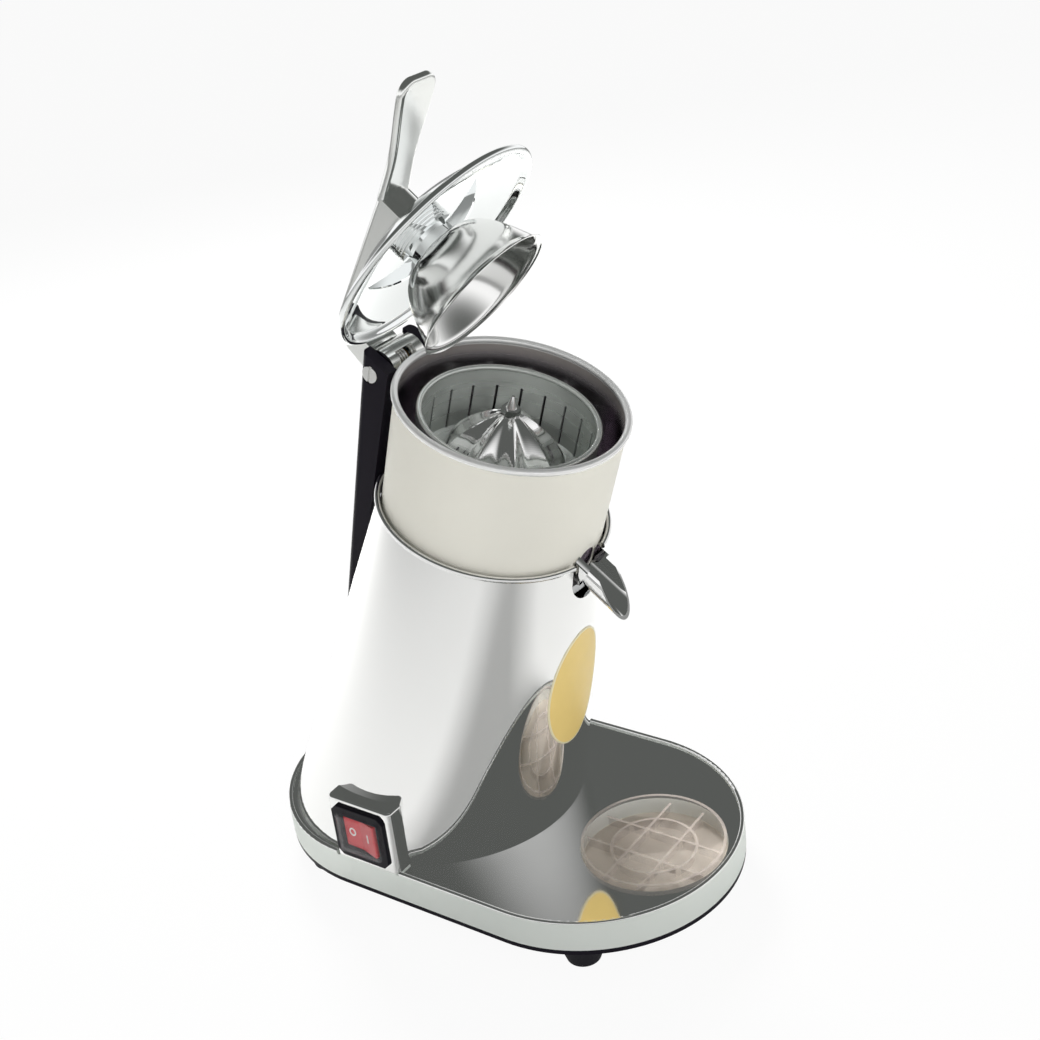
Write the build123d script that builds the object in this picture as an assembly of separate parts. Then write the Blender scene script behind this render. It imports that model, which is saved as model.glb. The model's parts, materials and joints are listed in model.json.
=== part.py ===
from build123d import *
import os
from math import cos, pi, radians, sin, sqrt, tan

# Millimetres, +Z up, front towards -Y. The origin is on the table under the middle of the base.

# Base
base_width = 180.0
base_ratio = 49 / 30
foot_height = 14.0
foot_top_dia = 28.0
foot_bottom_dia = 19.0
foot_edge = 1.5
foot_side_room = 24.0
foot_end_room = 55.0
plate_thickness = 3.0
plate_inset = 0.2
vent_count = 7
vent_width = 3.0
vent_length = 46.0
vent_step = 8.0
wall_height = 19.0
rim_width = 2.6
rim_rise = 2.0
rim_round = 0.84
base_sheet = 1.6
post_dia = 11.0
deck_hole_dia = 64.0
foot_screw_dia = 4.0
foot_screw_head_dia = 8.0
foot_screw_head_height = 2.5
foot_screw_grip = 10.0
foot_screw_gap = 0.3
gland_dia = 12.0
gland_bore = 7.0
gland_flange_dia = 17.0
gland_flange_height = 2.4
gland_lift = 8.0
gland_tail = 5.0

# Drip well and insert
well_share = 2 / 7
well_depth = 10.0
well_front_gap = 1.6
insert_gap = 0.5
insert_wall = 1.8
insert_rise = 3.4
insert_rib = 1.6
insert_rib_drop = 1.4
insert_ring_share = 0.56
insert_rib_share = 0.13
insert_rib_angle = 30.0

# Leaning body
lean_angle = 18.3
body_end_room = 12.2
body_side_room = 3.4
body_top_share = 0.73
body_height = 209.6
body_sheet = 1.5
bead_radius = 1.6
notch_width = 28.0
notch_depth = 24.0

# Switch on the side wall
switch_length = 46.0
switch_height = 42.0
switch_back = 37.0
switch_corner = 4.0
frame_length = 38.0
frame_height = 35.0
frame_proud = 2.0
frame_cut = 4.0
frame_edge = 0.8
rocker_length = 25.0
rocker_width = 21.0
rocker_tip = 8.0
rocker_proud = 1.3
cover_gap = 0.6
cover_wall = 0.6
cover_round = 1.2
switch_body_depth = 24.0
switch_body_wall = 1.0
switch_hole_gap = 0.5
rocker_pivot_depth = 3.0
rocker_pivot_dia = 3.0
rocker_pivot_play = 0.05
rocker_tail = 6.0
rocker_hollow = 1.6
rocker_edge = 0.8
rocker_gap = 0.9
rocker_taper = 1.5
rocker_room = 12.0
blade_length = 8.0
blade_width = 6.3
blade_thickness = 0.8
running_gap = 0.5

# Bowl, strainer and reamer, heights along the leaning axis above the deck
top_plate_thickness = 6.0
top_plate_drop = 14.0
bowl_depth = 83.0
bowl_set_in = 2.8
bowl_draft = 0.9
bowl_sheet = 1.2
bowl_corner = 6.0
rim_bead = 1.95
chimney_dia = 30.0
chimney_bore = 26.0
chimney_height = 34.0
seat_wall = 4.0
strainer_seat = 29.0
strainer_room = 12.7
strainer_sheet = 1.0
strainer_rim_drop = 9.4
strainer_rim_bead = 1.6
strainer_corner = 6.6
strainer_corner_rise = 7.0
strainer_gap = 0.4
slot_count = 22
slot_width = 1.4
slot_length = 25.0
slot_top_drop = 13.0
reamer_room = 6.5
reamer_skirt = 2.5
reamer_lift = 2.0
reamer_height = 38.0
reamer_crown_radius = 6.0
reamer_ribs = 8
reamer_flute = 0.26
reamer_fullness = 0.85
reamer_steps = (0.0, 0.3, 0.55, 0.78, 1.0)
spike_nut_radius = 5.2
spike_nut_height = 4.0
spike_height = 7.0
spike_base_radius = 2.9
spike_tip_radius = 0.8

# Spout
spout_angle = 19.0
spout_radius = 9.5
spout_sheet = 1.2
spout_side = 2.0
spout_length = 21.0
spout_root_rise = 0.6
spout_bevel = 58.0
spout_seat_gap = 0.6
spout_collar_wall = 1.8
spout_collar_length = 6.5
spout_collar_side = 5.0

# Motor on the leaning axis
motor_share = 0.7165
stator_length = 84.0
shield_height = 16.0
shield_wall = 5.0
bearing_recess = 4.0
bearing_collar_wall = 4.0
bearing_collar_height = 14.0
shield_hole_gap = 1.0
stator_share = 0.4
air_gap = 0.5
rotor_length = 66.0
shaft_dia = 12.0
bearing_dia = 32.0
bearing_width = 10.0
shaft_play = 0.05
shaft_chamfer = 0.6
motor_bolt_dia = 5.0
motor_bolt_head_dia = 8.0
motor_bolt_head_height = 3.0
motor_bolt_sink = 1.0
motor_bolt_inset = 4.0
fan_inset = 6.0
fan_hub_radius = 12.0
fan_thickness = 8.0
fan_blades = 7
fan_gap = 5.0
fan_blade_pitch = 35.0
fan_blade_thickness = 1.6
seal_dia = 34.0
capacitor_dia = 28.0
capacitor_length = 54.0
capacitor_set_back = 39.8
capacitor_edge = 2.0

# Column and hinge
column_width = 44.0
column_set_back = 1.0
column_top_depth = 18.8
column_foot_depth = 9.8
column_foot_height = 104.0
column_top_slope = 17.0
column_edge = 4.0
column_crest = 11.5
ear_gap = 28.0
hinge_set_back = 11.8
hinge_drop = 12.6
pin_dia = 7.0
pin_head_dia = 10.0
pin_head_thickness = 2.0
pin_head_gap = 0.3
pin_head_edge = 0.7
pin_slot_width = 1.4
pin_slot_depth = 0.8
fork_depth = 13.5
lug_thickness = 8.0
lug_drop = 50.0
lug_width = 40.0
column_bolt_dia = 6.0
column_bolt_head_dia = 9.6
column_bolt_head_height = 4.0
column_bolt_grip = 6.8
column_bolt_shares = (0.25, 0.65)

# Lever, measured from the hinge with the disc level with the bowl's rim
lever_raise = 68.0
tongue_play = 0.5
barrel_radius = 11.0
bush_wall = 1.5
arm_width = 22.0
arm_heel = 37.2
arm_top_slope = 9.1
arm_edge = 3.0
heel_reach = 2.0
heel_drop = 10.0
heel_round = 7.0
tongue_back = 7.0
tongue_root_share = 0.95
tongue_front = 4.2
armpit_reach = 15.0
armpit_rise = 11.0
armpit_round = 5.0
neck_set_out = 6.0
handle_length = 63.5
handle_width = 28.0
handle_waist = 19.0
handle_waist_share = 0.3
handle_corner = 8.0
handle_thickness = 5.0
handle_rise = 19.2
handle_sag = 0.4
handle_root = 2.0
handle_edge = 1.9
boss_radius = 11.0
web_gap = 2.5
disc_overhang = 6.0
disc_rim_height = 13.1
disc_dish = 17.0
disc_belly_share = 0.62
disc_belly_rise = 0.66
disc_sheet = 1.2
disc_bead = 2.0
stud_dia = 10.0
stud_head_dia = 15.0
stud_head_height = 1.5
stud_grip = 12.0
stud_gap = 0.5
boss_height = 16.0
collar_radius = 17.0
collar_height = 11.0
collar_grooves = 5
collar_groove = 0.65
wing_hub_radius = 13.0
wing_hub_taper = 1.0
wing_hub_height = 8.0
wing_reach = 39.0
wing_thickness = 3.4
wing_angle = -48.0
wing_shoulder = 4.0
wing_rise = 4.0
wing_belly_share = 0.7
wing_top_share = 0.3
wing_foot_share = 0.45
cup_room = 7.6
cup_depth = 33.6
cup_sheet = 1.2
cup_crown_share = 0.37
cup_lip = 2.4
cup_flare = 1.6
cup_shoulder_share = 0.66
cup_shoulder_drop = 9.5

# Lever spring, wound round the hinge pin
spring_wire = 1.5
spring_radius = 5.2
spring_pitch = 2.1
spring_turns = 5
spring_leg = 9.0
spring_gap = 0.35
rest_length = 6.0
pocket_width = 14.0

# Places worked out from the sizes above
base_length = base_width * base_ratio
wall_bottom = foot_height + plate_thickness
rim_top = wall_bottom + wall_height
deck_top = rim_top - rim_rise
deck_bottom = deck_top - base_sheet
gland_height = wall_bottom + gland_lift
foot_side = base_width / 2 - foot_side_room
foot_fore = base_length / 2 - foot_end_room
well_dia = base_length * well_share
well_radius = well_dia / 2
well_fore = base_length / 2 - rim_width - well_front_gap - well_radius
body_foot_radius = base_width / 2 - body_side_room
axis_back = base_length / 2 - body_foot_radius - body_end_room
body_top_radius = body_foot_radius * body_top_share
body_slope = (body_foot_radius - body_top_radius) / body_height
plate_top = body_height - top_plate_drop
plate_bottom = plate_top - top_plate_thickness
bowl_rim_height = plate_top + bowl_depth
hinge_height = bowl_rim_height - hinge_drop
bowl_bottom_radius = body_top_radius - bowl_set_in
bowl_top_radius = bowl_bottom_radius + bowl_draft
strainer_radius = bowl_top_radius - strainer_room
strainer_floor_radius = strainer_radius - strainer_corner
reamer_base_radius = strainer_floor_radius - reamer_room
column_front = body_top_radius + column_set_back
hinge_back = column_front + hinge_set_back
strainer_floor = plate_top + strainer_seat
strainer_rim = bowl_rim_height - strainer_rim_drop
reamer_bottom = plate_top + chimney_height + reamer_lift
reamer_crown = reamer_bottom + reamer_height
motor_radius = column_front * motor_share
rotor_radius = motor_radius * (1 - stator_share) - air_gap
motor_bolt_circle = 2 * (motor_radius - motor_bolt_inset)
fan_radius = motor_radius - fan_inset
capacitor_back = axis_back + capacitor_set_back
motor_top = plate_bottom
stator_top = motor_top - shield_height
stator_bottom = stator_top - stator_length
motor_bottom = stator_bottom - shield_height
fan_top = motor_bottom - fan_gap
fan_bottom = fan_top - fan_thickness
shaft_radius = shaft_dia / 2
shaft_top = reamer_crown
pin_radius = pin_dia / 2
side_face = -base_width / 2
switch_middle = deck_top + switch_height / 2
tongue_width = ear_gap - 2 * tongue_play
disc_crown = disc_rim_height + disc_dish
collar_bottom = disc_crown - collar_height
wing_bottom = collar_bottom - wing_hub_height
boss_bottom = disc_crown + disc_sheet
stud_top = boss_bottom + stud_grip
arm_slope = tan(radians(arm_top_slope))
neck_reach = hinge_back + neck_set_out
neck_top = arm_heel + neck_reach * arm_slope
disc_radius = bowl_top_radius + disc_overhang
cup_radius = strainer_radius - cup_room
cup_crown_radius = cup_radius * cup_crown_share
cup_shoulder_radius = cup_radius * cup_shoulder_share
cup_rim_height = wing_bottom - cup_depth

coil_start = -pi / 2
coil_end = 2 * pi * spring_turns - radians(lever_raise)

LOW = (Align.CENTER, Align.CENTER, Align.MIN)
HIGH = (Align.CENTER, Align.CENTER, Align.MAX)
FAR = 400.0


def lean(part):
    """Place a piece drawn upright on the leaning body axis."""
    return Pos(0, axis_back, deck_top) * Rot(lean_angle, 0, 0) * part


def raised(part):
    """Place a lever piece, drawn closed about the hinge, in its raised rest position."""
    return lean(Pos(0, hinge_back, hinge_height) * Rot(-lever_raise, 0, 0) * part)


def tube(outer, inner, bottom, top):
    """A plain ring about Z."""
    height = top - bottom
    ring = Cylinder(outer, height, align=LOW) - Cylinder(inner, height, align=LOW)
    return Pos(0, 0, bottom) * ring


def rod(radius, bottom, top):
    """A plain cylinder about Z."""
    return Pos(0, 0, bottom) * Cylinder(radius, top - bottom, align=LOW)


def cross_rod(radius, left, right):
    """A plain cylinder about X."""
    return Pos(left, 0, 0) * Rot(0, 90, 0) * Cylinder(radius, right - left, align=LOW)


def slab(inset, bottom, top):
    """The base's outline, drawn in by an inset, between two heights."""
    outline = SlotCenterToCenter(base_length - base_width, base_width - 2 * inset, rotation=90)
    return Pos(0, 0, bottom) * extrude(outline, top - bottom)


def turned(*edges):
    """A solid turned about Z from edges drawn as (radius, height)."""
    return revolve(Plane.XZ * make_face(edges), Axis.Z)


def side_plate(points, width, rounding=None):
    """A plate across X from a side outline of (forward, up) points with some corners rounded."""
    outline = make_face(Polyline(*[(-reach, up) for reach, up in points], close=True))
    for (reach, up), radius in (rounding or {}).items():
        corner = outline.vertices().sort_by_distance((-reach, up))[0]
        outline = fillet(corner, radius)
    return extrude(Plane.YZ * outline, width / 2, both=True)


def around(count, shape, start=0.0):
    """Copies of a shape spread evenly about Z."""
    return [Rot(0, 0, start + 360.0 * index / count) * shape for index in range(count)]


def body_cone(offset, bottom, top):
    """The leaning cone, upright, offset outwards from the body's outer skin."""
    low = body_foot_radius - body_slope * bottom + offset
    high = body_foot_radius - body_slope * top + offset
    return Pos(0, 0, bottom) * Cone(low, high, top - bottom, align=LOW)


def feet_places():
    return [(x, y) for x in (-foot_side, foot_side) for y in (-foot_fore, foot_fore)]


def base_tray():
    tray = slab(0, wall_bottom, rim_top) - slab(base_sheet, wall_bottom, deck_bottom)
    tray -= slab(rim_width, deck_top, rim_top)
    rim_edges = tray.edges().filter_by(lambda e: abs(e.center().Z - rim_top) < 0.01)
    tray = fillet(rim_edges, rim_round * rim_width / 2)
    floor = deck_top - well_depth
    tray += Pos(0, -well_fore, 0) * rod(well_radius + base_sheet, floor - base_sheet, deck_top)
    tray -= Pos(0, -well_fore, 0) * rod(well_radius, floor, rim_top)
    tray -= Pos(0, axis_back, 0) * rod(deck_hole_dia / 2, wall_bottom, rim_top)
    for x, y in feet_places():
        tray += Pos(x, y, 0) * rod(post_dia / 2, wall_bottom, deck_bottom)
        tray -= Pos(x, y, 0) * rod(foot_screw_dia / 2, wall_bottom, wall_bottom + foot_screw_grip)
    seat = Box(4 * rim_width, switch_length, rim_top, align=LOW)
    tray -= Pos(side_face, switch_back, deck_top) * seat
    gland = Pos(0, base_length / 2, gland_height) * Rot(90, 0, 0) * Cylinder(gland_dia / 2, 4 * base_sheet)
    return tray - gland


def bottom_plate():
    plate = slab(plate_inset, foot_height, wall_bottom)
    for x, y in feet_places():
        plate -= Pos(x, y, 0) * rod(foot_screw_dia / 2, foot_height, wall_bottom)
    vent = Pos(0, 0, foot_height) * extrude(SlotOverall(vent_length, vent_width), plate_thickness)
    for index in range(vent_count):
        plate -= Pos(0, axis_back + vent_step * (index - (vent_count - 1) / 2), 0) * vent
    return plate


def rubber_feet():
    foot = Cone(foot_bottom_dia / 2, foot_top_dia / 2, foot_height, align=LOW)
    foot = fillet(foot.edges().sort_by(Axis.Z)[0], foot_edge)
    foot -= rod(foot_screw_dia / 2, 0, foot_height)
    foot -= rod(foot_screw_head_dia / 2 + foot_screw_gap, 0, foot_height / 2)
    return [Pos(x, y, 0) * foot for x, y in feet_places()]


def foot_screws():
    head_top = foot_height / 2
    screw = rod(foot_screw_dia / 2, head_top, wall_bottom + foot_screw_grip - foot_screw_gap)
    screw += rod(foot_screw_head_dia / 2, head_top - foot_screw_head_height, head_top)
    return [Pos(x, y, 0) * screw for x, y in feet_places()]


def cable_gland():
    face = base_length / 2
    body = tube(gland_dia / 2, gland_bore / 2, face - base_sheet - gland_tail, face)
    body += tube(gland_flange_dia / 2, gland_bore / 2, face, face + gland_flange_height)
    return Pos(0, 0, gland_height) * Rot(-90, 0, 0) * body


def drip_insert():
    outer = well_radius - insert_gap
    inner = outer - insert_wall
    floor = deck_top - well_depth
    floor_top = floor + insert_wall
    top = deck_top + insert_rise
    dish = rod(outer, floor, top) - rod(inner, floor_top, top)
    rib_top = deck_top - insert_rib_drop
    ring = well_radius * insert_ring_share
    ribs = tube(ring + insert_rib, ring, floor_top, rib_top)
    bar = Box(2 * outer, insert_rib, rib_top - floor_top, align=LOW)
    for copy in around(4, Pos(0, well_dia * insert_rib_share, floor_top) * bar, insert_rib_angle):
        ribs += copy
    dish += ribs & rod(inner + insert_wall / 2, floor, top)
    return Pos(0, -well_fore, 0) * dish


def switch_box(inset, depth):
    """The switch housing's outline from the side wall inwards, drawn in by an inset."""
    length = switch_length - 2 * inset
    height = switch_height - inset
    box = Box(depth, length, height, align=(Align.MIN, Align.CENTER, Align.MIN))
    front = box.edges().filter_by(Axis.Z).sort_by(Axis.X)[:2]
    if inset == 0:
        box = fillet(front, switch_corner)
        top = box.edges().group_by(Axis.Z)[-1]
        top = top.filter_by(lambda e: e.center().X < depth - 1)
        box = fillet(top, base_sheet)
    return Pos(side_face + inset, switch_back, deck_top) * box


def switch_hole():
    """The opening behind the switch frame that the switch's body goes through."""
    margin = 2 * (rocker_gap + switch_body_wall + switch_hole_gap)
    hole = Box(2 * switch_body_depth, rocker_length + margin, rocker_width + margin)
    return Pos(side_face, switch_back, switch_middle) * hole


def switch_housing():
    shell = switch_box(0, base_width / 4) - switch_box(base_sheet, base_width / 4)
    shell -= lean(body_cone(0, -FAR / 8, body_height))
    return shell - switch_hole()


def switch_place(proud):
    """Where the switch's pieces sit on the side wall, drawn flat and facing up."""
    return Pos(side_face - proud, switch_back, switch_middle) * Rot(0, -90, 0) * Rot(0, 0, -90)


def switch_frame():
    outline = chamfer(Rectangle(frame_length, frame_height).vertices(), frame_cut)
    plate = extrude(outline, frame_proud)
    plate = fillet(plate.faces().sort_by(Axis.Z)[-1].edges(), frame_edge)
    plate -= Box(rocker_length + 2 * rocker_gap, rocker_width + 2 * rocker_gap, 3 * frame_proud)
    return switch_place(0) * plate


def switch_cover():
    length = rocker_length + 2 * (rocker_gap + cover_gap)
    width = rocker_width + 2 * (rocker_gap + cover_gap)
    height = rocker_proud + cover_gap + cover_wall
    outer = Box(length + 2 * cover_wall, width + 2 * cover_wall, height, align=LOW)
    outer = fillet(outer.edges().filter_by(Axis.Z) + outer.faces().sort_by(Axis.Z)[-1].edges(), cover_round)
    cap = outer - Box(length, width, height - cover_wall, align=LOW)
    return switch_place(frame_proud) * cap


def at_rocker_pivot(part):
    """Place a piece on the rocker's upright pivot line behind the side wall."""
    return Pos(side_face + rocker_pivot_depth, switch_back, switch_middle) * part


def switch_rocker():
    half = rocker_length / 2
    rise = rocker_pivot_depth + frame_proud + rocker_proud - half * sin(radians(rocker_tip))
    foot = half - rocker_taper
    face = [(half, rise), (0, rise - rocker_hollow), (-half, rise)]
    points = [(-foot, -rocker_tail), (foot, -rocker_tail)] + face
    key = extrude(make_face(Polyline(*points, close=True)), rocker_width / 2, both=True)
    key = fillet(key.edges().filter_by(Axis.Z).sort_by(Axis.Y)[-3:], rocker_edge)
    key -= Cylinder(rocker_pivot_dia / 2, 2 * rocker_width)
    return at_rocker_pivot(Rot(0, 0, 90 - rocker_tip) * key)


def switch_body():
    inward = (Align.MIN, Align.CENTER, Align.CENTER)
    length = rocker_length + 2 * rocker_gap
    width = rocker_width + 2 * rocker_gap
    case = Box(switch_body_depth, length + 2 * switch_body_wall, width + 2 * switch_body_wall, align=inward)
    case -= Box(rocker_room, length, width, align=inward)
    for side in (-1, 1):
        blade = Box(blade_length, blade_thickness, blade_width, align=inward)
        case += Pos(switch_body_depth, side * rocker_length / 4, 0) * blade
    case = Pos(side_face, switch_back, switch_middle) * case
    pivot_radius = rocker_pivot_dia / 2 - rocker_pivot_play
    return case + at_rocker_pivot(Cylinder(pivot_radius, width + switch_body_wall))


def body_shell():
    cone = body_cone(0, -FAR / 8, body_height) - body_cone(-body_sheet, -FAR / 8, body_height)
    bead = Pos(0, 0, body_height) * Torus(body_top_radius, bead_radius)
    slot_low = column_foot_height - running_gap
    slot = Box(column_width + 2 * running_gap, FAR, FAR, align=(Align.CENTER, Align.MIN, Align.MIN))
    slot = Pos(0, column_front - lug_thickness - running_gap, slot_low) * slot
    shell = (cone - spout_notch() - slot) + (bead - spout_notch() - slot)
    shell = lean(shell) - Pos(0, 0, deck_top) * Box(FAR, FAR, FAR, align=HIGH)
    return shell - switch_box(base_sheet, base_width / 4)


def spout_notch():
    """The round-ended notch in the body's front for the spout."""
    radius = notch_width / 2
    low = body_height - notch_depth + radius
    block = Box(notch_width, FAR, FAR, align=(Align.CENTER, Align.MAX, Align.MIN))
    round_end = Rot(90, 0, 0) * Cylinder(radius, FAR, align=LOW)
    return Pos(0, 0, low) * (block + round_end)


def top_plate():
    radius = body_foot_radius - body_slope * plate_top - body_sheet - running_gap
    plate = rod(radius, plate_bottom, plate_top) - rod(seal_dia / 2, plate_bottom, plate_top)
    keep = Box(FAR, column_front + FAR, FAR, align=(Align.CENTER, Align.MAX, Align.CENTER))
    plate &= Pos(0, column_front, plate_top) * keep
    lug = Box(lug_width, lug_thickness, lug_drop, align=(Align.CENTER, Align.MAX, Align.MAX))
    plate += Pos(0, column_front, plate_top) * lug
    spout_room = spout_radius + spout_collar_wall + running_gap
    plate -= spout_trough(spout_room, spout_side, -spout_radius, spout_length)
    for place in column_bolt_places():
        plate -= place * cross_bolt(column_bolt_dia / 2, column_front - lug_thickness, column_front)
    for place in motor_bolt_places():
        plate -= place * rod(motor_bolt_dia / 2, plate_bottom, plate_top)
    return lean(plate)


def cross_bolt(radius, front, back):
    """A plain cylinder about Y."""
    return Pos(0, front, 0) * Rot(-90, 0, 0) * Cylinder(radius, back - front, align=LOW)


def column_bolt_places():
    return [Pos(0, 0, plate_bottom - drop) for drop in [lug_drop * share for share in column_bolt_shares]]


def column_bolts():
    face = column_front - lug_thickness
    bolt = cross_bolt(column_bolt_dia / 2, face, column_front + column_bolt_grip)
    bolt += cross_bolt(column_bolt_head_dia / 2, face - column_bolt_head_height, face)
    return [lean(place * bolt) for place in column_bolt_places()]


def motor_bolt_places():
    return around(4, Pos(motor_bolt_circle / 2, 0, 0), 45)


def motor_stator():
    stack = tube(motor_radius, rotor_radius + air_gap, stator_bottom, stator_top)
    for place in motor_bolt_places():
        stack -= place * rod(motor_bolt_dia / 2, stator_bottom, stator_top)
    return lean(stack)


def motor_shield(bottom, opening_up):
    """An end shield: a round cap with a bearing seat, open towards the stator."""
    cap = rod(motor_radius, 0, shield_height)
    cap -= rod(motor_radius - shield_wall, shield_wall, shield_height)
    cap += rod(bearing_dia / 2 + bearing_collar_wall, 0, bearing_collar_height)
    cap -= rod(bearing_dia / 2, bearing_recess, shield_height)
    cap -= rod(shaft_radius + shield_hole_gap, 0, shield_height)
    for place in motor_bolt_places():
        cap += place * rod(motor_bolt_dia, 0, shield_height)
        cap &= rod(motor_radius, 0, shield_height)
    for place in motor_bolt_places():
        cap -= place * rod(motor_bolt_dia / 2, 0, shield_height)
    if not opening_up:
        cap = Pos(0, 0, shield_height) * Rot(180, 0, 0) * cap
    return lean(Pos(0, 0, bottom) * cap)


def motor_bolts():
    bolt = rod(motor_bolt_dia / 2, motor_bottom, plate_top - motor_bolt_sink)
    bolt += rod(motor_bolt_head_dia / 2, motor_bottom - motor_bolt_head_height, motor_bottom)
    return [lean(place * bolt) for place in motor_bolt_places()]


def ball_bearings():
    lower = motor_bottom + bearing_recess
    upper = motor_top - bearing_recess - bearing_width
    ring = tube(bearing_dia / 2, shaft_radius + shaft_play, 0, bearing_width)
    return [lean(Pos(0, 0, height) * ring) for height in (lower, upper)]


def motor_rotor():
    middle = (stator_top + stator_bottom) / 2
    return lean(tube(rotor_radius, shaft_radius, middle - rotor_length / 2, middle + rotor_length / 2))


def motor_shaft():
    shaft = rod(shaft_radius, fan_bottom, shaft_top - spike_nut_height)
    return lean(chamfer(shaft.edges().filter_by(GeomType.CIRCLE), shaft_chamfer))


def cooling_fan():
    fan = tube(fan_hub_radius, shaft_radius, fan_bottom, fan_top)
    outward = (Align.MIN, Align.CENTER, Align.CENTER)
    blade = Box(fan_radius, 2 * fan_thickness, fan_blade_thickness, align=outward)
    blade = Rot(fan_blade_pitch, 0, 0) * blade & rod(fan_radius, -fan_thickness / 2, fan_thickness / 2)
    blade -= rod((fan_hub_radius + shaft_radius) / 2, -fan_thickness, fan_thickness)
    for copy in around(fan_blades, Pos(0, 0, (fan_top + fan_bottom) / 2) * blade):
        fan += copy
    return lean(fan)


def shaft_seal():
    seal = tube(seal_dia / 2, shaft_radius + shaft_play, plate_bottom, plate_top)
    return lean(seal)


def run_capacitor():
    can = rod(capacitor_dia / 2, deck_top, deck_top + capacitor_length)
    can = fillet(can.edges().sort_by(Axis.Z)[-1], capacitor_edge)
    return Pos(0, capacitor_back, 0) * can


def bowl():
    depth = bowl_depth - rim_bead
    cup = Cone(bowl_bottom_radius, bowl_top_radius, depth, align=LOW)
    cup = fillet(cup.edges().sort_by(Axis.Z)[0], bowl_corner)
    low, high = bowl_bottom_radius - bowl_sheet, bowl_top_radius - bowl_sheet
    room = Pos(0, 0, bowl_sheet) * Cone(low, high, depth, align=LOW)
    room = fillet(room.edges().sort_by(Axis.Z)[0], bowl_corner - bowl_sheet)
    cup -= room
    cup += Pos(0, 0, depth) * Torus(bowl_top_radius, rim_bead)
    cup += rod(chimney_dia / 2, 0, chimney_height) + rod(chimney_dia / 2 + seat_wall, 0, strainer_seat)
    cup -= rod(chimney_bore / 2, 0, chimney_height)
    cup = Pos(0, 0, plate_top) * cup
    cup -= spout_trough(spout_radius - spout_sheet, spout_side, -2 * bowl_corner, spout_length)
    return lean(cup)


def spout_run(part):
    """Place a piece drawn along Z on the spout's sloping line, which starts at the bowl's wall."""
    root = plate_top + spout_radius + spout_root_rise
    return Pos(0, -bowl_bottom_radius, root) * Rot(90 + spout_angle, 0, 0) * part


def spout_trough(radius, headroom, start, end):
    """A round-bottomed channel between two places along the spout's line."""
    channel = Circle(radius) + Pos(0, headroom / 2) * Rectangle(2 * radius, headroom)
    return spout_run(Pos(0, 0, start) * extrude(channel, end - start))


def spout():
    inside = spout_radius - spout_sheet
    trough = spout_trough(spout_radius, spout_side, -spout_radius, 2 * spout_length)
    outside = spout_radius + spout_collar_wall
    trough += spout_trough(outside, spout_collar_side, -spout_radius, spout_collar_length)
    trough -= spout_trough(inside, FAR, -spout_radius, 2 * spout_length)
    trough -= Pos(0, 0, plate_top - FAR / 2) * Cylinder(bowl_bottom_radius + spout_seat_gap, FAR, align=LOW)
    end = Box(FAR / 4, FAR / 4, FAR / 4, align=LOW)
    trough -= spout_run(Pos(0, 0, spout_length) * Rot(-spout_bevel, 0, 0) * end)
    return lean(trough)


def strainer():
    radius = strainer_radius
    floor = strainer_floor
    top = strainer_rim - strainer_rim_bead
    inner = radius - strainer_sheet
    basket = rod(radius, floor + strainer_corner_rise, top)
    basket += Pos(0, 0, floor) * Cone(strainer_floor_radius, radius, strainer_corner_rise, align=LOW)
    room = rod(inner, floor + strainer_corner_rise, top)
    room += Pos(0, 0, floor + strainer_sheet) * Cone(
        strainer_floor_radius - strainer_sheet / 2, inner, strainer_corner_rise - strainer_sheet, align=LOW)
    basket -= room
    basket += Pos(0, 0, top) * Torus(inner, strainer_rim_bead)
    basket -= rod(chimney_dia / 2 + strainer_gap, floor, top)
    slot_middle = strainer_rim - slot_top_drop - slot_length / 2
    slot = Pos(radius, 0, slot_middle) * Box(6 * strainer_sheet, slot_width, slot_length)
    for copy in around(slot_count, slot, 180.0 / slot_count):
        basket -= copy
    return lean(basket)


def flute_section(height, ridge):
    """A ring of hollow flutes between sharp ridges."""
    valley = ridge * (1 - reamer_flute)
    step = 360.0 / reamer_ribs
    edges = []
    for index in range(reamer_ribs):
        start, end = radians(index * step), radians((index + 1) * step)
        middle = (start + end) / 2
        edges.append(ThreePointArc(
            (ridge * cos(start), ridge * sin(start)),
            (valley * cos(middle), valley * sin(middle)),
            (ridge * cos(end), ridge * sin(end))))
    return Pos(0, 0, height) * make_face(edges)


def reamer():
    skirt_top = reamer_bottom + reamer_skirt
    rise = reamer_crown - skirt_top
    spread = reamer_base_radius - reamer_crown_radius
    sections = []
    for share in reamer_steps:
        ridge = reamer_crown_radius + spread * cos(share * pi / 2) ** reamer_fullness
        sections.append(flute_section(skirt_top + share * rise, ridge))
    dome = loft(sections)
    dome += rod(reamer_base_radius, reamer_bottom, skirt_top)
    dome -= rod(shaft_radius, reamer_bottom, shaft_top - spike_nut_height)
    return lean(dome)


def reamer_nut():
    nut = extrude(RegularPolygon(spike_nut_radius, 6), spike_nut_height)
    nut += Pos(0, 0, spike_nut_height) * Cone(spike_base_radius, spike_tip_radius, spike_height, align=LOW)
    return lean(Pos(0, 0, reamer_crown) * nut)


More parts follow.
